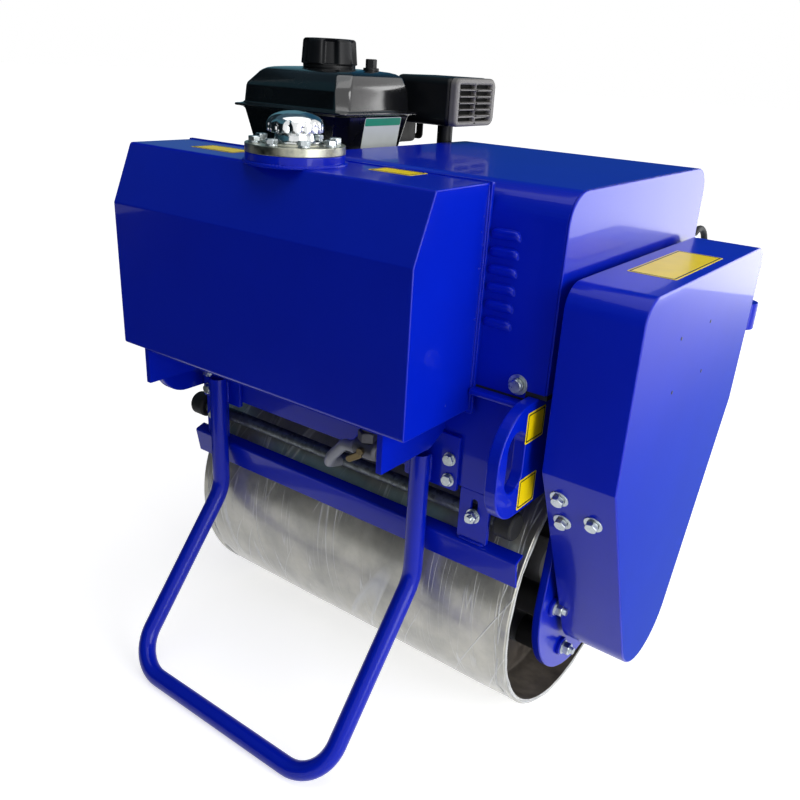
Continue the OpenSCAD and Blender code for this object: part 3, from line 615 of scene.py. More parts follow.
def drum_skin():
    """The film and the steel under it: the drum's radius less small hollows, which are sums of a few waves
    that run round the drum at a slant and die out at the edges, closed by a plain band inside."""
    section = [(bore_r, -drum_half), (drum_r, -drum_half), (drum_r, drum_half), (bore_r, drum_half)]
    edge = held(rounded(section, 2.5, 4, closed=False), 0.6, closed=False)
    along = np.concatenate([edge[:7, 1], np.linspace(8 - drum_half, drum_half - 8, 150), edge[-7:, 1]])
    base = np.interp(along, edge[:, 1], edge[:, 0])
    base[:7], base[-7:] = edge[:7, 0], edge[-7:, 0]
    x, a = along[:, None], np.linspace(0, TAU, 220, endpoint=False)[None]
    fold = (np.sin(x * 0.045 + 3 * np.sin(a * 2 + x * 0.004)) * np.sin(a * 5 + x * 0.011)
            + 0.6 * np.sin(x * 0.11 + 4 * np.sin(a * 3)) * np.sin(a * 9 + 1))
    ease = np.clip((drum_half - np.abs(x)) / 20, 0, 1)
    dip = 1.7 * np.exp(-((np.abs(x) - drum_half + 13) / 7.5) ** 2)
    r = base[:, None] - dip - 0.45 * ease * (1 + fold / 1.6)
    band_r, band_x = np.array([bore_r, drum_r - 5, drum_r - 5, bore_r]), drum_half - 0.2
    r = np.concatenate([r, band_r[:, None] + 0 * a])
    x = np.concatenate([x, np.array([band_x, band_x, -band_x, -band_x])[:, None]])
    return around(r, a, x)


def drum_end():
    """The bore, the weld, the web and its hub as one closed section that goes once round the axle."""
    edge = 0.3 - drum_half
    section = np.array([(bore_r, edge), (bore_r, edge + 1.7), (bore_r, -web_x - 6),
                        (bore_r - 1.5, -web_x - 2.5), (bore_r - 6, -web_x), (bore_r - 8, -web_x),
                        (90, -web_x), (60, -web_x), (52, -web_x), (50, -web_x - 1), (48, -web_x - 9),
                        (46, -web_x - 10), (33, -web_x - 10), (hub_bore, -web_x - 9), (hub_bore, -web_x + 6),
                        (hub_bore, -web_x + 10), (bore_r + 2, -web_x + 10), (bore_r + 2, edge)])
    angle = np.linspace(0, TAU, 128, endpoint=False)[None]
    return skin(around(section[:, :1], angle, section[:, 1:]), ring=True)


def film_gather(x, r, thick, wander, seed):
    """A loose strand of film round the drum's rim: a ring whose place and thickness wander by sums of
    sines."""
    a = np.linspace(0, TAU, 480, endpoint=False)[:, None]
    out = np.linspace(0, TAU, 8, endpoint=False)[None]
    size = thick * (1 + 0.45 * np.sin(7 * a + seed) * np.sin(23 * a + 2 * seed))
    mid = r - 0.5 * (1 + np.sin(5 * a + 3 * seed) * np.cos(11 * a))
    place = x + wander * np.sin(9 * a + seed) + size * np.sin(out)
    return skin(around(mid + size * np.cos(out), a, place), ring=True)


piece("drum_film_skin", D, "bare_steel", film, put(skin(drum_skin(), ring=True), axle, RIGHT),
      stands_for=["drum_shell"])
left_end = put(drum_end(), axle, RIGHT)
piece("drum_webs", D, "bare_steel", mill_steel, left_end, mirrored(left_end))
# Each strand: how far inside the rim, how far under the surface, its radius, how far it wanders.
strand_sizes = ((9, 1.9, 1.3, 2.4), (16, 2.0, 1.2, 3.2), (13, 1.8, 1.1, 4.0), (-0.3, 3.6, 1.3, 0.2),
                (-0.1, 6.2, 1.1, 0.3))
strands = [put(film_gather(drum_half - x, drum_r - under, thick, wander, k), axle, RIGHT)
           for k, (x, under, thick, wander) in enumerate(strand_sizes)]
piece("gathered_film", D, None, film_edge, *strands, *[mirrored(s) for s in strands])

# ---------------------------------------------------------------- yokes, dampers and travel motor
low, high = reach("right_yoke")
yoke_x0, yoke_x1, yoke_top = low[0], high[0], high[2]
yoke_r = drum_z - low[2] - 5
yoke_corner, spacer = 6, 5
damper_r = 110
damper_turn = np.radians(57 + 60 * np.arange(6))
damper_at = np.column_stack([drum_y + damper_r * np.cos(damper_turn),
                             drum_z + damper_r * np.sin(damper_turn)])
yoke_line = hull_of([(drum_y, drum_z, yoke_r), (drum_y - 99, yoke_top - yoke_corner, yoke_corner),
                     (drum_y + 99, yoke_top - yoke_corner, yoke_corner)], 220)
yoke = plate_x(yoke_line, yoke_x0, yoke_x1, 1.5, [disc_line(drum_y, drum_z, 42)])
spacers = [put(sleeve(14, 6, spacer, 1.0, 40), (yoke_x1, y, z), RIGHT) for y, z in damper_at]
yoke_bolts = [bolt((yoke_x1 + spacer, y, z), RIGHT, 10.5, 0.4 + k, ((2.1, 2.0), (1.7, 1.6)), nut=True)
              for k, (y, z) in enumerate(damper_at)]
piece("right_yoke_plate", M, "blue_steel", blue, yoke, *spacers, stands_for=["right_yoke"])
piece("left_yoke_plate", M, "blue_steel", blue, *[mirrored(s) for s in [yoke, *spacers]],
      stands_for=["left_yoke"])
piece("damper_bolts", M, "zinc_steel", zinc, *yoke_bolts, *[mirrored(b) for b in yoke_bolts])
low, high = reach("travel_motor")
motor_at = (low[0] + 62, drum_y, drum_z)
port = rod(9, 12, 1, 24)
motor = joined(
    rod(67, 14, 2.0, 64),
    turned([(1, 13), (40, 13), (40, 44), (36, 50), (1, 50)], 2.5, 64),
    turned([(1, 49), (30, 49), (30, 60), (1, 62)], 1.5, 48),
    block((-16, 14, 18), (16, 54, 40), 4, 2),
    put(port, (-8, 54, 29), BACK),
    put(port, (8, 54, 29), BACK))
piece("travel_motor_body", M, "cast_iron", steel_black, put(motor, motor_at, LEFT, BACK),
      stands_for=["travel_motor"])
bolt_x, motor_bolt_r = motor_at[0] - 14, 54
piece("travel_motor_bolts", M, "zinc_steel", zinc,
      *[bolt((bolt_x, drum_y + motor_bolt_r * math.cos(t), drum_z + motor_bolt_r * math.sin(t)), LEFT, 10, t)
        for t in np.radians([45, 135, 225, 315])])

# ---------------------------------------------------------------- frame plates with lifting hooks
low, high = reach("right_side_plate")
y0, y1, z0, z1 = low[1], high[1], low[2], high[2]
mid = (y0 + y1) / 2
foot = z0 + 9
plate_line = rounded([(y0, foot), (mid - 122, foot), (mid - 104, z0 + 28), (mid + 104, z0 + 28),
                      (mid + 122, foot), (y1, foot), (y1, z1), (y0, z1)], [50, 5, 9, 9, 5, 50, 66, 66], 12)
slots = [box_line(y - 20, z0 + 46, y + 20, z0 + 124, 19.9, 10) for y in (y0 + 40, y1 - 40)]
side = plate_x(plate_line, low[0], high[0], 1.8, slots)
piece("right_hook_plate", M, "blue_steel", blue, side, stands_for=["right_side_plate"])
piece("left_hook_plate", M, "blue_steel", blue, mirrored(side), stands_for=["left_side_plate"])
hook_labels = [((high[0], y0 + 79.5, z0 + 121.5), 44, 40), ((high[0], y0 + 77, z0 + 34.5), 42, 41)]
piece("hook_labels", M, None, yellow, *[label(at, RIGHT, BACK, w, h) for at, w, h in hook_labels])
piece("hook_label_lines", M, None, ink, *[label_line(at, RIGHT, BACK, w, h) for at, w, h in hook_labels])

# ---------------------------------------------------------------- oil tank with its bolted filler
low, high = reach("oil_tank")
ring_low, ring_high = reach("filler_ring")
tx0, tx1, ty0, ty1, tz0 = low[0], high[0], low[1], high[1], low[2]
ring_z = ring_low[2]
tank_top = ring_z - 12
# The filler stands 8 mm right of the frame's, and its ring is 6 mm smaller in radius.
filler = ((ring_low[0] + ring_high[0]) / 2 + 8, (ring_low[1] + ring_high[1]) / 2)
ring_r = (ring_high[0] - ring_low[0]) / 2 - 6
slope_deep, slope_tall = 33, 76
tank_line = rounded([(ty0, tz0), (ty1, tz0), (ty1, tank_top), (ty0 + slope_deep, tank_top),
                     (ty0, tank_top - slope_tall)], [4, 3, 3, 5, 5], 5)
tank = plate_x(tank_line, tx0, tx1, 1.6)
back = plate_y(box_line(tx0 - 4, tz0 - 5, tx1 + 4, tank_top + 1.5, 2.5), ty1 - 5, ty1 + 0.05, 0.8)
boss = rod(ring_r, ring_z - tank_top + 1, 0.8, 96, tank_top - 1)
boss_bead = ring_bead(ring_r + 0.6, tank_top + 0.8, 2.4)
seams = [bead((x, ty1 - 6, tz0 + 4), (x, ty1 - 6, tank_top - 3), 1.5) for x in (tx0 - 0.6, tx1 + 0.6)]
# Drops of weld spatter beside the seam on the right.
spatter = [put(turned([(1, 0), (1.6, 0), (1.0, 0.9), (0.3, 1.2)], 0.2, 10, arc=2), (tx1, ty1 - y, z), RIGHT)
           for y, z in ((11, 760), (13, 742), (9, 728), (12, 700), (9, 648), (12, 640), (7, 560), (60, 544))]
piece("oil_tank_body", M, "blue_steel", blue, tank, back, *seams, put(boss, (*filler, 0)),
      put(boss_bead, (*filler, 0)), *spatter, stands_for=["oil_tank"])
top_labels = [((-167, ty1 - 53, tank_top), 79, 40), ((100, ty1 - 24, tank_top), 62, 36)]
piece("tank_labels", M, None, yellow, *[label(at, UP, RIGHT, w, h) for at, w, h in top_labels])
piece("tank_label_lines", M, None, ink, *[label_line(at, UP, RIGHT, w, h) for at, w, h in top_labels])
ring_t, ring_bore, bolt_r = 10, 34, 49
ring = turned([(ring_bore, 0), (ring_r, 0), (ring_r, ring_t), (40, ring_t), (40, ring_t + 1.5),
               (ring_bore, ring_t + 1.5)], 0.8, 96, ring=True)
piece("filler_ring_plate", M, "zinc_steel", ring_zinc, put(ring, (*filler, ring_z)),
      stands_for=["filler_ring"])
piece("filler_bolts", M, "zinc_steel", zinc,
      *[bolt((filler[0] + bolt_r * math.cos(t), filler[1] + bolt_r * math.sin(t), ring_z + ring_t), UP, 8.0,
             t * 3, ((1.8, 1.4), (1.6, 1.0))) for t in np.radians(np.arange(8) * 45 + 10)])
low, high = reach("breather_cap")
cap_h, cap_r = high[2] - low[2] - 3, (high[0] - low[0]) / 2 - 2.2


def scallops(r, angle, z):
    """Twelve round lobes round the skirt, which fade into the smooth dome above and vanish towards the
    neck."""
    lobes = 1 - np.abs(np.sin(angle * 6)) ** 0.8
    skirt = np.clip((cap_h - 9 - z) / 8, 0, 1) * (z > 12)
    return r * (1 - 0.085 * lobes * skirt)


def breather():
    """The breather: a flange, a neck, a scalloped skirt, and a dome whose section is a quarter of a flat
    ellipse."""
    t = np.linspace(0, 1, 9)
    dome = np.column_stack([cap_r * np.cos(t * 1.5), cap_h - 15 + 15 * np.sin(t * math.pi / 2)])
    foot = [(1, 0), (31, 0), (31, 3.5), (25, 4.5), (23, 12), (cap_r - 4, 12.3), (cap_r - 0.5, 13.5),
            (cap_r, 16)]
    skirt = np.column_stack([np.full(4, cap_r), np.linspace(18, cap_h - 17, 4)])
    line = np.vstack([foot, skirt, dome])
    angle = np.linspace(0, TAU, 144, endpoint=False)[None]
    return skin(around(scallops(line[:, :1] + 0 * angle, angle, line[:, 1:]), angle, line[:, 1:]))


piece("breather_dome", M, "chrome_steel", chrome, put(breather(), (*filler, low[2])),
      stands_for=["breather_cap"], sharp=48)

# ---------------------------------------------------------------- parking stand
low, high = reach("parking_stand")
plate_low, plate_high = reach("stand_plates")
stand_r, stand_top, knee = 13.5, high[2], 252.0
sx0, sx1, sz0 = low[0] + stand_r, high[0] - stand_r, low[2] + stand_r
sy0, sy1 = low[1] + stand_r, plate_low[1] - stand_r
stand_path = rounded([(sx0, sy1, stand_top), (sx0, sy1, knee), (sx0, sy0, sz0), (sx1, sy0, sz0),
                      (sx1, sy1, knee), (sx1, sy1, stand_top)], 60, 14, closed=False)
plate_w = 84
plates = [plate_y(box_line(x, plate_low[2], x + plate_w, plate_high[2], 3), plate_low[1], plate_high[1], 0.9)
          for x in (plate_low[0], plate_high[0] - plate_w)]
bead_y, bead_off = plate_low[1] - 1.5, 8.5
leg_beads = [bead((x + s, bead_y, plate_low[2] + 3), (x + s, bead_y, stand_top - 4), 2.6)
             for x in (sx0, sx1) for s in (-bead_off, bead_off)]
piece("parking_stand_tube", M, "blue_steel", blue, pipe(stand_path, stand_r, 40, 3.0), *leg_beads,
      stands_for=["parking_stand"])
piece("stand_fixing_plates", M, "blue_steel", blue, *plates, stands_for=["stand_plates"])
piece("stand_bolts", M, "zinc_steel", zinc,
      *[bolt((x, plate_low[1], plate_low[2] + up), FRONT, 8.5, x, ((2.2, 1.8),))
        for x in (plate_low[0] + 13, plate_high[0] - 13) for up in (44, 14)])

# ---------------------------------------------------------------- scrapers and their brackets
low, high = reach("front_scraper")


def scraper_line(low, high):
    """The bar's section: a top flange that rises backwards, a nose, and a lip that comes down to the drum."""
    nose = (low[1], low[2] + 42)
    return rounded([(low[1] + 8.2, low[2] + 1.0), nose, (high[1], high[2]), (high[1], high[2] - 4),
                    (nose[0] + 4.6, nose[1] - 2.6), (low[1] + 12.2, low[2])],
                   [1.2, 3.5, 1.2, 1.2, 1.5, 1.2], 4)


scraper = plate_x(scraper_line(low, high), low[0], high[0], 0.5)
low, high = reach("scraper_brackets")
bracket_y, bracket_w = low[1], 46
brackets, nuts = [], []
for x in (-288, 206):
    line = box_line(x, low[2] + 0.6, x + bracket_w, high[2], 3)
    slot_x = x + bracket_w / 2
    slot = box_line(slot_x - 5, 366, slot_x + 5, 396, 4.9, 6)
    brackets.append(plate_y(line, bracket_y, bracket_y + 6, 0.8, [slot]))
    bead_ends = [(bead_x, bracket_y - 1, low[2] + 1) for bead_x in (x + 3, x + bracket_w - 3)]
    brackets.append(bead(*bead_ends, 2.0))
    nuts.append(bolt((slot_x, bracket_y, 372), FRONT, 9, 0.2, ((2.3, 1.8), (1.7, 1.4)), nut=True))
piece("front_scraper_bar", M, "blue_steel", blue, scraper, stands_for=["front_scraper"])
piece("rear_scraper_bar", M, "blue_steel", blue, mirrored(scraper, drum_y, 1), stands_for=["rear_scraper"])
piece("scraper_bracket_plates", M, "blue_steel", blue, *brackets, *[mirrored(b, drum_y, 1) for b in brackets],
      stands_for=["scraper_brackets"])
piece("scraper_nuts", M, "zinc_steel", zinc, *nuts, *[mirrored(n, drum_y, 1) for n in nuts])

# ---------------------------------------------------------------- sprinkler pipe and valve
low, high = reach("sprinkler_pipe")
pipe_y, pipe_z, pipe_len = (low[1] + high[1]) / 2, (low[2] + high[2]) / 2, high[0] - low[0]
pipe_body = rod(10, pipe_len - 4, 0.8, 36, 2)
end_cap = turned([(1, 0), (17, 0), (19, 3), (19, 24), (16, 28), (11, 28)], 2.0, 40)
piece("sprinkler_pipe_run", M, "galvanised_steel", pipe_zinc, put(pipe_body, (low[0], pipe_y, pipe_z), RIGHT),
      stands_for=["sprinkler_pipe"])
piece("pipe_end_caps", M, "rubber", rubber, put(end_cap, (low[0], pipe_y, pipe_z), RIGHT),
      put(end_cap, (high[0], pipe_y, pipe_z), LEFT))
low, high = reach("sprinkler_valve")
vx, vy, vz = high[0] - 15, low[1] + 15, 430
stem = high[2] - vz - 12
tap_hose = rounded([(vx - 16, vy, vz - 4), (vx - 44, vy + 2, vz - 8), (vx - 70, vy + 6, vz - 36),
                    (vx - 82, vy + 14, pipe_z + 8), (vx - 84, pipe_y - 8, pipe_z)], 12, 8, closed=False)
tap = joined(
    put(rod(10, stem), (vx, vy, vz + 12)),
    put(hexagon_head(26, 14), (vx, vy, vz + 14)),
    put(turned([(1, 0), (11, 0), (14.5, 4), (15, 14), (15, 26), (14.5, 36), (11, 40), (1, 40)], 3, 40),
        (vx - 20, vy, vz + 1), RIGHT),
    put(rod(8, 8), (vx, vy, vz + 2), FRONT))
lever = slab(box_line(-5, -5, 21, 5, 4.5, 6), 3.0, 1.0)
piece("water_tap_body", M, "brass", tap_grey, tap, stands_for=["sprinkler_valve"])
piece("water_tap_hose", M, "brass", hose_grey, pipe(tap_hose, 8.0, 28),
      put(rod(10, 14, 1.0), (vx - 12, vy, vz - 3.5), LEFT))
piece("tap_lever", M, "brass", brass,
      put(lever, (vx - 4, vy - 15, vz - 5), (0.2, -1, -0.1), (-0.8, -0.15, -0.5)),
      put(hexagon_head(10, 6), (vx, vy - 14, vz + 2), FRONT))

# ---------------------------------------------------------------- hood with pressed louvres
hx0, hz0, hz1 = reach("hood")[0][0], reach("hood")[0][2], reach("hood")[1][2]
hx1 = reach("hood")[1][0]
hy0, hy1 = reach("hood_seal")[0][1], reach("hood_seal")[1][1]
bend, sheet_t, step_up = 36.0, 3.0, 10.0
notch_x = reach("right_side_plate")[0][0] - 3.3


def hood_row(x, foot):
    """The hood sheet's closed section at one place across: up the front, over two round bends and down the
    back on the outside, then the same way back on the inside."""
    lines = [rounded([(hy0 + m, foot), (hy0 + m, hz1 - m), (hy1 - m, hz1 - m), (hy1 - m, foot)],
                     [1, bend - m, bend - m, 1], 14, closed=False) for m in (0, sheet_t)]
    line = held(np.vstack([lines[0], lines[1][::-1]]))
    return np.column_stack([np.full(len(line), x), line])


# The sheet's foot steps up where it passes over the side plate.
sheet = skin([hood_row(x, hz0) for x in (hx0, hx0 + 0.6, notch_x - 0.6, notch_x)]
             + [hood_row(x, hz0 + step_up) for x in (notch_x, notch_x + 0.6, hx1 - sheet_t)])
end_y0, end_y1, end_z0, end_z1 = hy0 + 0.2, hy1 - 0.2, hz0 + step_up, hz1 - 0.2
end_line = rounded([(end_y0, end_z0), (end_y0, end_z1), (end_y1, end_z1), (end_y1, end_z0)],
                   [2, bend, bend, 2], 14)
end_panel = plate_x(end_line, hx1 - 3.2, hx1, 1.3)


def louvre(x0, x1, z):
    """A pressed louvre: a bulge whose height off the sheet is a half sine up the sheet, sheared towards its
    lower edge, and a rounded end shape along it."""
    tall, out = 13.0, 6.0
    u = np.linspace(0, 1, 25)[:, None]
    v = np.linspace(0, 1, 15)[None]
    ends = np.minimum(1, np.sqrt(np.clip(1 - np.abs(2 * u - 1) ** 6, 0, 1)) * 1.02)
    lift = out * np.sin(np.pi * v ** 0.55) ** 0.8 * ends
    x = x0 + (x1 - x0) * u + 0 * v
    zz = z - tall / 2 + tall * (1 - v) * (0.25 + 0.75 * ends) + tall * 0.12 * (1 - ends)
    top = np.stack([x, hy0 - lift + 0.3, zz + 0 * x], -1)
    under = np.stack([x[:, ::-1], np.full_like(x, hy0 + 1.0), zz[:, ::-1] + 0 * x], -1)
    return skin(np.concatenate([top, under], 1))


louvre_count, louvre_pitch = 6, 20.7
louvres = [louvre(tx1 + 6, tx1 + 44, hz0 + 82 + k * louvre_pitch) for k in range(louvre_count)]
piece("hood_sheet", M, "blue_steel", blue, sheet, end_panel, *louvres, stands_for=["hood"])
piece("hood_bolts", M, "zinc_steel", zinc,
      *[bolt((x, y, hz0 + 15), way, 9.5, 0.5, ((2.7, 1.8), (1.7, 1.5)))
        for x, y, way in ((275, hy0, FRONT), (275, hy1, BACK), (-40, hy1, BACK))])

# ---------------------------------------------------------------- belt cover
low, high = reach("belt_cover")
cx0, cx1, cy0, cy1, cz0, cz1 = low[0], high[0], low[1], high[1], low[2], high[2]
cover_r = drum_z - cz0
cover_y = drum_y - 10
knee_z = reach("right_side_plate")[1][2] - 82
cover_line = hull_of([(cover_y, drum_z, cover_r), (cy0 + 4, knee_z, 4), (cy1 - 16, knee_z, 4),
                      (cy0 + 30, cz1 - 30, 30), (cy1 - 30, cz1 - 30, 30)], 260)
# The rim lies 14 mm further in than the frame's; the face stays 0.6 mm inside it.
rim, face = cx0 - 14, cx1 - 0.6
edge_r, sheet_in = 2.4, 3.2
turn = np.linspace(0, math.pi / 2, 5)
cover_rings = [(cx0 - 1, 3.4), (rim + 2, sheet_in), (rim + 0.4, 3.0), (rim, 2.4), (rim, 0.7),
               (rim + 0.6, 0.0), (rim + 2, 0.0),
               *zip(face - edge_r * (1 - np.sin(turn)), edge_r * (1 - np.cos(turn))), (face, sheet_in)]
cover_loop = wound(held(cover_line), 1)
cover = skin([np.column_stack([np.full(len(cover_loop), x), inset(cover_loop, m)]) for x, m in cover_rings])
# The slanted lower front runs from the knee to where it touches the round foot.
rise, across = knee_z - drum_z, cover_y - cy0
tangent = math.acos(cover_r / math.hypot(across, rise)) - math.atan2(rise, across)
touch = np.array([cover_y - cover_r * math.cos(tangent), drum_z - cover_r * math.sin(tangent)])
slant = unit(touch - np.array([cy0, knee_z]))
slant_out = np.array([0, slant[1], -slant[0]])


def on_slant(x, z):
    """A place on the cover's slanted lower front at a height."""
    share = (z - knee_z) / slant[1]
    return (x, cy0 + share * slant[0], z)


piece("belt_cover_box", M, "blue_steel", blue, cover, stands_for=["belt_cover"])
piece("belt_cover_bolts", M, "zinc_steel", zinc,
      *[bolt(on_slant(x, z), slant_out, 9, 0.3 + k, ((2.7, 1.8), (1.7, 1.4)))
        for k, (x, z) in enumerate(((346, 443), (347, 404), (389, 420)))])
cover_label = ((375, drum_y - 25, cz1), UP, RIGHT, 60, 170)
piece("cover_label", M, None, yellow, label(*cover_label))
piece("cover_label_line", M, None, ink, label_line(*cover_label))
# Blind rivet heads on the cover's face, given the black finish: painted shade of the small holes there.
rivet = turned([(0.4, 0), (2.6, 0), (2.2, 0.4), (0.4, 0.5)], 0.15, 16)
piece("cover_rivets_painted_shade", M, "zinc_steel", steel_black,
      *[put(rivet, (face, drum_y + y, z), RIGHT) for y, z in ((7, 635), (-98, 636), (10, 568), (-95, 568))])

# ---------------------------------------------------------------- engine
low, high = reach("engine_block")
ex0, ex1, ez0 = low[0], high[0], low[2]
crank_y, crank_z = drum_y, reach("recoil_starter")[0][2] + 100
case_len = ex1 - ex0
case = joined(
    block((ex0 + 8, crank_y - 78, ez0), (ex1, crank_y + 78, ez0 + 24), 10, 3),
    put(turned([(1, 0), (80, 0), (86, 8), (86, case_len - 14), (80, case_len - 7), (1, case_len - 7)], 4, 72),
        (ex0 + 6.5, crank_y, crank_z), RIGHT),
    block((ex0 + 30, crank_y - 60, crank_z + 50), (ex1 - 30, crank_y + 40, 784), 10, 4),
    block((ex0 + 22, crank_y - 84, ez0 + 18), (ex1 - 10, crank_y - 30, crank_z + 30), 12, 6))
# The cylinder leans 25 degrees up from level, as these engines' do, with its fins square to it.
lean = math.radians(25)
barrel_way = np.array([0, math.cos(lean), math.sin(lean)])
barrel_up = np.array([0, -math.sin(lean), math.cos(lean)])
barrel_at = np.array([(ex0 + ex1) / 2, crank_y, crank_z])
fin_count, fin_t, fin_pitch = 8, 3.2, 9.5


def on_barrel(half_wide, half_tall, corner, start, thick, edge):
    """A rounded plate square to the cylinder, a distance along it."""
    outline = box_line(-half_wide, -half_tall, half_wide, half_tall, corner)
    return put(slab(outline, thick, edge), barrel_at + barrel_way * start, barrel_way, RIGHT)


fins = [on_barrel(60, 48, 12, 76 + k * fin_pitch, fin_t, 0.8) for k in range(fin_count)]
barrel = [on_barrel(44, 38, 14, 58, 92, 3), on_barrel(52, 40, 14, 146, 22, 4)]
pipe_x = ex0 + 47
intake = rounded([(pipe_x, crank_y + 70, crank_z + 62), (pipe_x, crank_y + 125, crank_z + 84),
                  (pipe_x, crank_y + 125, crank_z + 124)], 20, 8, closed=False)
piece("engine_castings", M, "cast_aluminium", aluminium, case, *fins, *barrel, pipe(intake, 12, 28),
      stands_for=["engine_block"])
head_bolts = [bolt(barrel_at + barrel_way * 168 + np.array([x, 0, 0]) + barrel_up * y, barrel_way, 8, x,
                   ((1.9, 1.4),)) for x in (-38, 38) for y in (-28, 28)]
foot_bolts = [bolt((x, y, ez0 + 24), UP, 9, x, ((2.0, 1.8),))
              for x in (ex0 + 24, ex1 - 14) for y in (crank_y - 66, crank_y + 66)]
piece("engine_bolts", M, "zinc_steel", zinc, *head_bolts, *foot_bolts)

# ---------------------------------------------------------------- recoil starter
low, high = reach("recoil_starter")
vent = box_line(42, -4, 66, 4, 3.6, 4)
vents = [vent @ np.array([[math.cos(a), math.sin(a)], [-math.sin(a), math.cos(a)]])
         for a in np.radians(np.arange(16) * 22.5)]
starter = joined(
    turned([(1, 0), (94, 0), (100, 6), (100, 28), (90, 32), (1, 32)], 4, 72),
    put(slab(disc_line(0, 0, 75, 72), 14, 3, vents), (0, 0, 36)),
    rod(60, 8, 1, 48, 30),
    turned([(1, 48), (26, 48), (24, 50), (1, 50)], 1.0, 40))
pull = slab(box_line(-22, -6, 22, 6, 5.5, 6), 10, 3)
piece("recoil_cover", M, "black_plastic", cover_black, put(starter, (high[0], crank_y, crank_z), LEFT, BACK),
      put(pull, (low[0] + 20, crank_y - 74, crank_z + 52), FRONT, UP), stands_for=["recoil_starter"])

# ---------------------------------------------------------------- fuel tank and its cap
low, high = reach("fuel_tank")
fx0, fx1, fy0, fy1, fz0 = low[0], high[0], low[1], high[1], low[2]


def tank_section(up, outer_in, inner_in, side_in, chamfer, r):
    """The fuel tank's outline at a height over its foot: a rectangle whose outer end, inner end and two
    sides are moved inwards by their own amounts, its corners cut off and rounded."""
    x0, x1, y0, y1, c = fx0 + outer_in, fx1 - inner_in, fy0 + side_in, fy1 - side_in, chamfer
    line = rounded([(x0 + c, y0), (x1 - c, y0), (x1, y0 + c), (x1, y1 - c), (x1 - c, y1), (x0 + c, y1),
                    (x0, y1 - c), (x0, y0 + c)], r, 4)
    return np.column_stack([line, np.full(len(line), fz0 + up)])


def even(up, by, chamfer, r):
    """A level whose four sides are all moved inwards alike."""
    return (up, by, by, by, chamfer, r)


# The lower half with its rolled foot, the seam's flange, and the upper half, whose outer end slopes the most.
tank_levels = [even(0, 28, 16, 8), even(1, 20, 16, 8), even(3.5, 16.5, 16, 8), even(50, 7.5, 15, 8),
               even(52.5, 6.5, 12, 8), even(53.5, 4.0, 8, 6), even(53.8, 1.0, 7, 6), even(54.6, 0.2, 7, 6),
               even(56.5, 0.2, 7, 6), even(57.3, 1.0, 7, 6), even(57.6, 4.5, 8, 6), even(58.6, 6.5, 12, 8),
               even(61, 7.2, 15, 8), (84, 9.0, 8.2, 8.6, 16, 8), (88, 10.6, 8.6, 9.6, 16, 8),
               (91, 14, 9.2, 11, 16, 8), (105, 30, 13, 18.5, 15, 7), (108, 34, 16, 22, 15, 7),
               (110.5, 39, 20.5, 27, 14, 7), (112.2, 46, 27, 34, 14, 6), (113.5, 59, 40, 47, 12, 5),
               (114.8, 80, 60, 68, 9, 4)]
fuel_body = skin(np.array([tank_section(*at_level) for at_level in tank_levels]))
piece("fuel_tank_shell", M, "black_plastic", tank_black, fuel_body, stands_for=["fuel_tank"], sharp=60)
# The label lies on the lower half's inner end, which leans outwards as it rises.
label_low = np.array([fx1 - 16.0, drum_y + 14, fz0 + 5])
label_high = np.array([fx1 - 7.9, drum_y + 14, fz0 + 50])
tilt, label_tall = unit(label_high - label_low), np.linalg.norm(label_high - label_low)
label_out = np.array([tilt[2], 0, -tilt[0]])
label_mid = (label_low + label_high) / 2 + label_out * 0.1
piece("fuel_tank_label", M, None, white, label(label_mid, label_out, BACK, 88, label_tall))
piece("fuel_label_band", M, None, green,
      put(slab(box_line(-43, -5.5, 43, 5.5, 2, 4), 0.3, 0.08),
          label_mid + tilt * (label_tall / 2 - 6.5) + label_out * 0.3, label_out, BACK))
low, high = reach("fuel_cap")
cap_mid = np.array([low[0] + 50, drum_y])
cap_wide, cap_tall = 43.0, high[2] - low[2]


def grip_lobes(r, angle, z):
    """Five broad lobes with flat hollows between them: the radius steps in where a cosine of five turns is
    low."""
    step = 1 / (1 + np.exp(-9 * (np.cos(5 * (angle + 0.2)) + 0.25)))
    fade = np.clip((cap_tall - z) / 5, 0, 1) * np.clip((z - 3) / 3, 0, 1)
    return r - 9.5 * (1 - step) * fade * (r > cap_wide * 0.7)


cap_profile = [(1, -2), (cap_wide - 3, -2), (cap_wide - 3, 3), (cap_wide, 4), (cap_wide - 3, cap_tall - 1),
               (cap_wide - 13, cap_tall - 0.6), (cap_wide - 15, cap_tall - 4), (1, cap_tall - 3.5)]
fuel_lid = turned(cap_profile, [1, 1, 1, 1.2, 5, 1.2, 1.2, 1], 160, grip_lobes, arc=4)
vx, vy, vz = cap_mid[0] + 58, cap_mid[1] + 30, low[2] - 3
piece("fuel_cap_body", M, "black_plastic", cap_black, put(fuel_lid, (*cap_mid, low[2])),
      put(rod(12, 4.5), (vx, vy, vz)),
      put(hexagon_head(15, 13), (vx, vy, vz + 4)), stands_for=["fuel_cap"], sharp=40)

# ---------------------------------------------------------------- air cleaner
low, high = reach("air_cleaner")
ax0, ax1, ay1, az1 = low[0], high[0], high[1], high[2]
ay0, az0 = ay1 - 117, az1 - 72
end_t, bar_pitch, bar_gap = 13, 9.6, 5.4
air_line = box_line(ay0, az0, ay1, az1, 12, 7)
grille_line = box_line(ay0 + 0.4, az0 + 0.4, ay1 - 0.4, az1 - 0.4, [9, 14, 15, 11], 7)
grille_slots = [box_line(y, z, y + 43, z + bar_gap, 2.0, 4) for z in az0 + 8.5 + np.arange(6) * bar_pitch
                for y in (ay0 + 12, ay0 + 61)]
piece("air_cleaner_body", M, "black_plastic", cover_black, plate_x(air_line, ax0 - 16, ax1 - end_t, 6),
      put(turned([(1, 0), (12.5, 0), (12.5, 48), (17, 56), (1, 56)], 2, 40), (-103, ay0 + 58, az0 - 50)),
      block((-137.5, ay0 - 20, az0 - 84), (-88, ay0 + 76, az0 - 48), 12, 6), stands_for=["air_cleaner"])
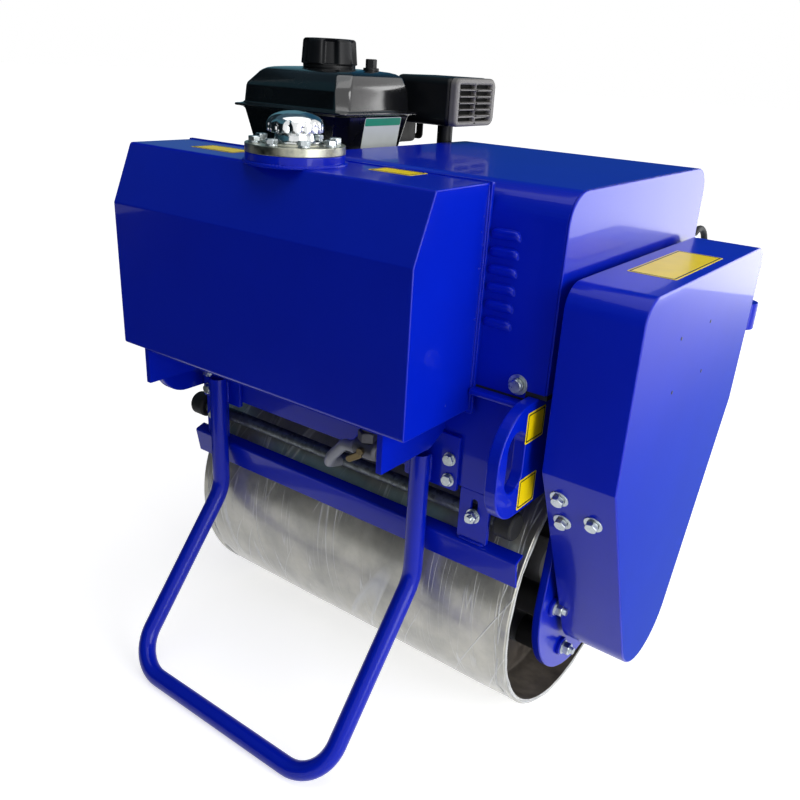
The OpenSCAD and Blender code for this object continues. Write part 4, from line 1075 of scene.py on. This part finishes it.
piece("air_cleaner_grille", M, "black_plastic", grille_grey,
      plate_x(grille_line, ax1 - end_t - 0.5, ax1, 3.4, grille_slots))
piece("air_cleaner_foam_shade", M, "rubber", shadow_black,
      plate_x(box_line(ay0 + 9, az0 + 6, ay1 - 11, az1 - 8, 4), ax1 - 12, ax1 - 8, 1))
piece("air_cleaner_knob", M, "black_plastic", cap_black,
      put(turned([(1, 0), (7, 0), (7, 5), (1, 6)], 1.2, 32), (ax1 - 22, ay1 - 6, az0 + 40), BACK))

# ---------------------------------------------------------------- muffler
low, high = reach("muffler")
mx0, mx1, my0, mz0, mz1 = low[0], high[0], low[1], low[2], high[2]
my1 = my0 + 80
slot_w, slot_at = 5, mx0 + 12 + np.arange(9) * 11
guard_slots = [box_line(x, my0 + 14, x + slot_w, my1 - 14, 2.2, 4) for x in slot_at]
side_slots = [box_line(x, mz0 + 12, x + slot_w, mz1 - 16, 2.2, 4) for x in slot_at]
tail = [(mx0 + 30, y, mz0 + 40) for y in (my1 - 6, my1 + 6, high[1])]
piece("muffler_body", M, "dark_steel", muffler_black,
      block((mx0 + 5, my0 + 4, mz0), (mx1 - 5, my1 - 5, mz1 - 6), 16, 7),
      plate_z(box_line(mx0, my0, mx1, my1, 10), mz1 - 3, mz1, 0.8, guard_slots),
      plate_y(box_line(mx0, mz0 + 4, mx1, mz1, 8), my1 - 3, my1, 0.8, side_slots),
      pipe(tail, 13, 32, 1.5), stands_for=["muffler"])

# ---------------------------------------------------------------- rear beam
low, high = reach("rear_beam")
beam, beam_half, beam_t = 40, 382.0, 3
bz0, bz1, by0, by1 = high[2] - beam, high[2], high[1] - beam, high[1]
beam_y = (by0 + by1) / 2
apron_y, deck_top = reach("rear_apron")[1][1], reach("deck")[1][2]
tube_box = plate_x(box_line(by0, bz0, by1, bz1, 5), -beam_half, beam_half, 0.6,
                   [box_line(by0 + beam_t, bz0 + beam_t, by1 - beam_t, bz1 - beam_t, 3)])
bushes = [put(sleeve(20, 8.5, beam, 1.0, 64), (s * (beam_half + 12), beam_y, bz0)) for s in (-1, 1)]
bush_welds = [bead((x, y, bz0 + 3), (x, y, bz1 - 3), 2.4)
              for x in (0.5 - beam_half, beam_half - 0.5) for y in (beam_y - 19, beam_y + 19)]
gusset_line = rounded([(apron_y, 470), (by1, bz0 - 28), (by1, bz0), (by0, bz0), (by0, deck_top - 8),
                       (apron_y, deck_top - 8)], [4, 8, 2, 2, 2, 2], 5)
gussets = [plate_x(gusset_line, x, x + 10, 1.2) for x in (180, -190)]
gusset_welds = [bead((x, by0 + 3, bz0 - 1), (x, by1 - 3, bz0 - 1), 2.4) for x in (180, 190, -180, -190)]
piece("handle_beam", M, "blue_steel", blue, tube_box, *bushes, *bush_welds, *gussets, *gusset_welds,
      stands_for=["rear_beam"])

# ---------------------------------------------------------------- handle
low, high = reach("handle_pivots")
arm_x = 260.0
pivot_y, pivot_z = high[1] - 18, (low[2] + high[2]) / 2
ear_line = hull_of([(pivot_y, pivot_z, 18), (by1 + 2, pivot_z - 16, 2), (by1 + 2, pivot_z + 16, 2)], 120)
ears = [plate_x(ear_line, s * arm_x + k, s * arm_x + k + 6, 1.0) for s in (-1, 1) for k in (-21.5, 15.5)]
piece("handle_ears", M, "blue_steel", blue, *ears, stands_for=["handle_pivots"])
piece("handle_pins", M, "zinc_steel", zinc,
      *[put(rod(7, 51), (s * arm_x - 25.5, pivot_y, pivot_z), RIGHT) for s in (-1, 1)],
      *[bolt((s * (arm_x + 21.5), pivot_y, pivot_z), (s, 0, 0), 10, 0.2, ((2.0, 1.8),), nut=True)
        for s in (-1, 1)])
low, high = reach("handle_frame")
tube_r = 13.5
grip_z, arm_top = low[2] + tube_r, high[2]
handle_path = rounded([(-arm_x, pivot_y, arm_top), (-arm_x, pivot_y, grip_z), (arm_x, pivot_y, grip_z),
                       (arm_x, pivot_y, arm_top)], 50, 14, closed=False)
cross_z = grip_z + 130
cross = pipe([(x, pivot_y, cross_z) for x in (8 - arm_x, 0, arm_x - 8)], 10, 28)
collars = [put(ring_bead(10.5, 0, 1.8, 24), (s * (arm_x - tube_r + 0.5), pivot_y, cross_z), RIGHT)
           for s in (-1, 1)]
piece("handle_tube", H, "blue_steel", blue, pipe(handle_path, tube_r, 36, 2.5), cross, *collars,
      stands_for=["handle_frame"])
grip_start, grip_r, grip_bore = 60, 18, 13.7
grip_len = reach("grips")[1][0] - grip_start


def ribbed(r, z):
    """Shallow rings along the grip, one every 6 mm, with plain cuffs at both ends."""
    between = (z > 8) & (z < grip_len - 8) & (r > 16)
    return r - np.where(between, 1.1 * (0.5 + 0.5 * np.cos(TAU * z / 6)) ** 2, 0)


grip_line = np.vstack([[(grip_bore, 0), (17, 0), (grip_r, 1)],
                       np.column_stack([np.full(150, grip_r), np.linspace(2, grip_len - 2, 150)]),
                       [(grip_r, grip_len - 1), (17, grip_len), (grip_bore, grip_len)]])
grip_angle = np.linspace(0, TAU, 40, endpoint=False)[None]
grip = around(ribbed(grip_line[:, :1], grip_line[:, 1:]), grip_angle, grip_line[:, 1:])
grip = put(skin(grip, ring=True), (grip_start, pivot_y, grip_z), RIGHT)
piece("handle_grips", H, "rubber", grip_rubber, grip, mirrored(grip), stands_for=["grips"])
low, high = reach("control_box")
box_z = (low[2] + high[2]) / 2
piece("control_box_case", H, "black_plastic", cover_black, block(low, high, 9, 4),
      plate_y(box_line(low[0] + 10, low[2] + 12, high[0] - 10, high[2] - 12, 5), high[1] - 1, high[1], 0.4),
      put(turned([(4, 0), (13, 0), (10, 5), (4, 6)], 1, 32, ring=True), (0, high[1] - 1, box_z), BACK),
      stands_for=["control_box"])
low, high = reach("travel_lever")
lever_z, knob_r = (low[2] + high[2]) / 2, 14
lever_len = high[1] - knob_r - low[1]
piece("travel_lever_rod", H, "chrome_steel", chrome,
      put(rod(5, lever_len, 0.5, 28), (0, low[1], lever_z), BACK), stands_for=["travel_lever"])
t = np.linspace(-1.35, 1.5, 22)
knob = turned(np.column_stack([knob_r * np.cos(t), knob_r * np.sin(t)]), 0.01, 40, arc=1)
piece("travel_lever_knob", H, "black_plastic", cap_black, put(knob, (0, high[1] - knob_r, lever_z), BACK))

# ---------------------------------------------------------------- hydraulic hose
hose_x, hose_top, hose_low, hose_r, bend_r = 300.0, 686.0, bz1 + 9.5, 5.0, 41.0


def hose_path():
    """The hose's centreline: straight out of the lower fitting, up round a circle, and past its top by the
    angle at which an arc of the same radius turned the other way runs level into the upper fitting."""
    over = math.acos(1 - (hose_low + 2 * bend_r - hose_top) / (2 * bend_r))
    end_y = hy1 + 14
    mid_y, mid_z = end_y + 2 * bend_r * math.sin(over), hose_low + bend_r
    level = np.column_stack([np.linspace(beam_y, mid_y, 6)[:-1], np.full(5, hose_low)])
    a = np.linspace(-math.pi / 2, math.pi / 2 + over, 22)
    loop = np.column_stack([mid_y + bend_r * np.cos(a), mid_z + bend_r * np.sin(a)])
    b = np.linspace(over, 0, 7)[1:]
    home = np.column_stack([end_y + bend_r * np.sin(b), hose_top + bend_r * (1 - np.cos(b))])
    line = np.vstack([level, loop, home])
    return np.column_stack([np.full(len(line), hose_x), line])


run = hose_path()
hose = piece("hydraulic_hose_run", M, "rubber", rubber, pipe(run, hose_r, 24), stands_for=["hydraulic_hose"])
upper_fitting = turned([(1, 0.3), (11, 0.3), (11, 16), (9, 17), (9, 34), (6, 35)], 0.6, 64)
lower_fitting = turned([(1, 0), (9, 0), (9, 26), (6, 27)], 0.6, 48)
fittings = piece("hose_fittings", M, "zinc_steel", zinc,
                 put(upper_fitting, (hose_x, hy1, hose_top), BACK),
                 put(hexagon_head(22, 15), (hose_x, beam_y, bz1 + 0.3)),
                 put(lower_fitting, (hose_x, beam_y, hose_low), BACK))

# ---------------------------------------------------------------- finishes of the nodes that keep their shape
# The damper rings inside the drum take the black casting finish: painted shade inside the drum.
for node, finish in (("drum_axle_stubs", axle_steel), ("damper_rings", steel_black),
                     ("rubber_dampers", rubber), ("right_yoke_cap", blue), ("front_apron", blue),
                     ("rear_apron", blue), ("deck", blue), ("tank_shelf", blue), ("hood_seal", rubber),
                     ("belt_cover_back", blue)):
    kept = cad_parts[node]
    if not kept.data.materials:
        kept.data.materials.append(finish)
    for place in kept.material_slots:
        place.link = "OBJECT"
        place.material = finish

# ---------------------------------------------------------------- floor, air and boards
scene = bpy.context.scene


def sheet_of(name, corners):
    """A flat four-cornered sheet, given in metres, that belongs to the studio and not to the machine."""
    mesh = bpy.data.meshes.new(name)
    mesh.from_pydata(corners, [], [(0, 1, 2, 3)])
    made = bpy.data.objects.new(name, mesh)
    scene.collection.objects.link(made)
    return made


def looked_at(tree):
    """1 for what the camera sees, straight or in a mirror or through glass, and 0 for light on the
    machine."""
    ray = add(tree, "ShaderNodeLightPath").outputs
    seen = worked(tree, "MAXIMUM", ray["Is Camera Ray"], ray["Is Glossy Ray"])
    return worked(tree, "MAXIMUM", seen, ray["Is Transmission Ray"])


floor = sheet_of("studio_floor", [(-30, -30, 0), (30, -30, 0), (30, 30, 0), (-30, 30, 0)])
pale, tree, shader, where = start("pale_studio_floor", Base_Color=colour("#e9e9ea"), Roughness=0.9,
                                  Specular_IOR_Level=0.1)
# The floor's own glow for the camera grows from the machine outwards, so that floor and air meet in plain
# white.
away = add(tree, "ShaderNodeVectorMath", {0: where}, operation="LENGTH")
glow = ranged(tree, away.outputs["Value"], (0.5, 3.5), (0.66, 0.9))
shader.inputs["Emission Color"].default_value = (1, 1, 1, 1)
tree.links.new(worked(tree, "MULTIPLY", looked_at(tree), glow), shader.inputs["Emission Strength"])
floor.data.materials.append(pale)

world = bpy.data.worlds.new("studio_air")
scene.world = world
world.use_nodes = True
tree = world.node_tree
sky = tree.nodes["Background"]
sky.inputs["Color"].default_value = (1, 1, 1, 1)
tree.links.new(ranged(tree, looked_at(tree), (0.0, 1.0), (0.2, 1.0)), sky.inputs["Strength"])


def board(name, corners, tone, fade=None):
    """A studio board that only reflections see, set up beside gloss paint: a glowing sheet of one even tone
    that paints a reflection and casts no light or shadow. fade gives the two places across, in metres,
    between which its tone turns to white."""
    made = sheet_of(name, corners)
    painted_reflection, tree, shader, where = start(name + "_cloth", Base_Color=colour("#000000"), Roughness=0.95,
                                       Specular_IOR_Level=0.0, Emission_Color=colour(tone),
                                       Emission_Strength=1.0)
    if fade is not None:
        part = add(tree, "ShaderNodeSeparateXYZ", {"Vector": where})
        share = ranged(tree, part.outputs["X"], fade, (0.0, 1.0), interpolation_type="SMOOTHSTEP")
        tree.links.new(blended(tree, share, colour(tone), (1, 1, 1, 1)), shader.inputs["Emission Color"])
    made.data.materials.append(painted_reflection)
    made.visible_camera = made.visible_diffuse = made.visible_shadow = made.visible_transmission = False


def standing(a, b, z0, z1):
    """An upright board between two places on the floor and two heights."""
    return [(*a, z0), (*b, z0), (*b, z1), (*a, z1)]


def lying(x0, y0, x1, y1, z):
    """A level board between two corners."""
    return [(x0, y0, z), (x1, y0, z), (x1, y1, z), (x0, y1, z)]


# Painted reflections: glowing boards in even tones that only gloss paint and metal reflect, dark where the
# surroundings would be in shade; the right floor board paints the machine's shadow on the floor beside it,
# fading to white.
board("rear_left_board", standing((-9.0, 2.6), (-2.9, 3.4), 0.1, 6.0), "#54808f")
board("rear_board", standing((-2.9, 3.4), (0.6, 3.6), 0.1, 6.0), "#24506a")
board("front_board", standing((-4.5, -2.2), (0.4, -3.6), 1.9, 5.0), "#416876")
board("front_low_board", standing((-4.5, -2.2), (0.4, -3.6), 0.1, 1.9), "#12181c")
board("left_board", standing((-4.6, -2.2), (-4.6, 2.6), 0.1, 5.0), "#1d2a31")
board("overhead_board", lying(-4.6, -3.6, 1.2, 3.4, 5.0), "#425a68")
board("left_floor_board", lying(-4.6, -1.0, -0.8, 1.2, 0.01), "#0a161b")
board("front_floor_board", lying(-3.5, -4.0, 1.2, -1.0, 0.01), "#0a161b")
board("right_floor_board", lying(0.42, 0.1, 1.3, 4.5, 0.01), "#7f9fba", fade=(0.72, 1.15))

# ---------------------------------------------------------------- lamps and camera


def placed(made, x, z, at):
    """Stands a lamp or the camera at a place: its own X and its own Z, which points backwards, are given."""
    turn = np.column_stack([x, np.cross(z, x), z, at])
    made.matrix_world = Matrix(np.vstack([turn, [0, 0, 0, 1]]).tolist())
    scene.collection.objects.link(made)


def softbox(name, at, towards, wide, tall, power):
    """A soft lamp at a place that faces another."""
    lamp = bpy.data.lights.new(name, "AREA")
    lamp.shape = "RECTANGLE"
    lamp.size, lamp.size_y, lamp.energy = wide, tall, power
    made = bpy.data.objects.new(name, lamp)
    made.visible_camera = False
    back = unit(np.subtract(at, towards))
    placed(made, unit(np.cross(UP, back)), back, at)


softbox("top_softbox", (0.3, -0.2, 2.6), (0, 0, 0.5), 2.2, 2.0, 22)
softbox("right_softbox", (2.3, -0.3, 0.9), (0.3, 0.0, 0.5), 1.6, 1.8, 42)
softbox("back_right_softbox", (1.3, 2.7, 0.95), (0.33, 0.1, 0.6), 1.2, 1.9, 24)

# The camera looks left of straight back by the heading, down by the dip, and is turned about its own line of
# sight by the roll. The heading, dip and roll are in degrees and its place is in metres.
heading, dip, roll = np.radians([35.7295, 23.2826, 3.2617])
ahead = np.array([-math.sin(heading) * math.cos(dip), math.cos(heading) * math.cos(dip), -math.sin(dip)])
level = np.array([math.cos(heading), math.sin(heading), 0])
right = level * math.cos(roll) + np.cross(level, ahead) * math.sin(roll)
camera_data = bpy.data.cameras.new("camera")
camera_data.sensor_width, camera_data.lens = 36.0, 37.44
camera_data.shift_x, camera_data.shift_y = 0.00158, 0.0212
camera = bpy.data.objects.new("camera", camera_data)
placed(camera, right, -ahead, (0.7007, -1.0323, 0.9172))
scene.camera = camera

scene.view_settings.view_transform = "Standard"
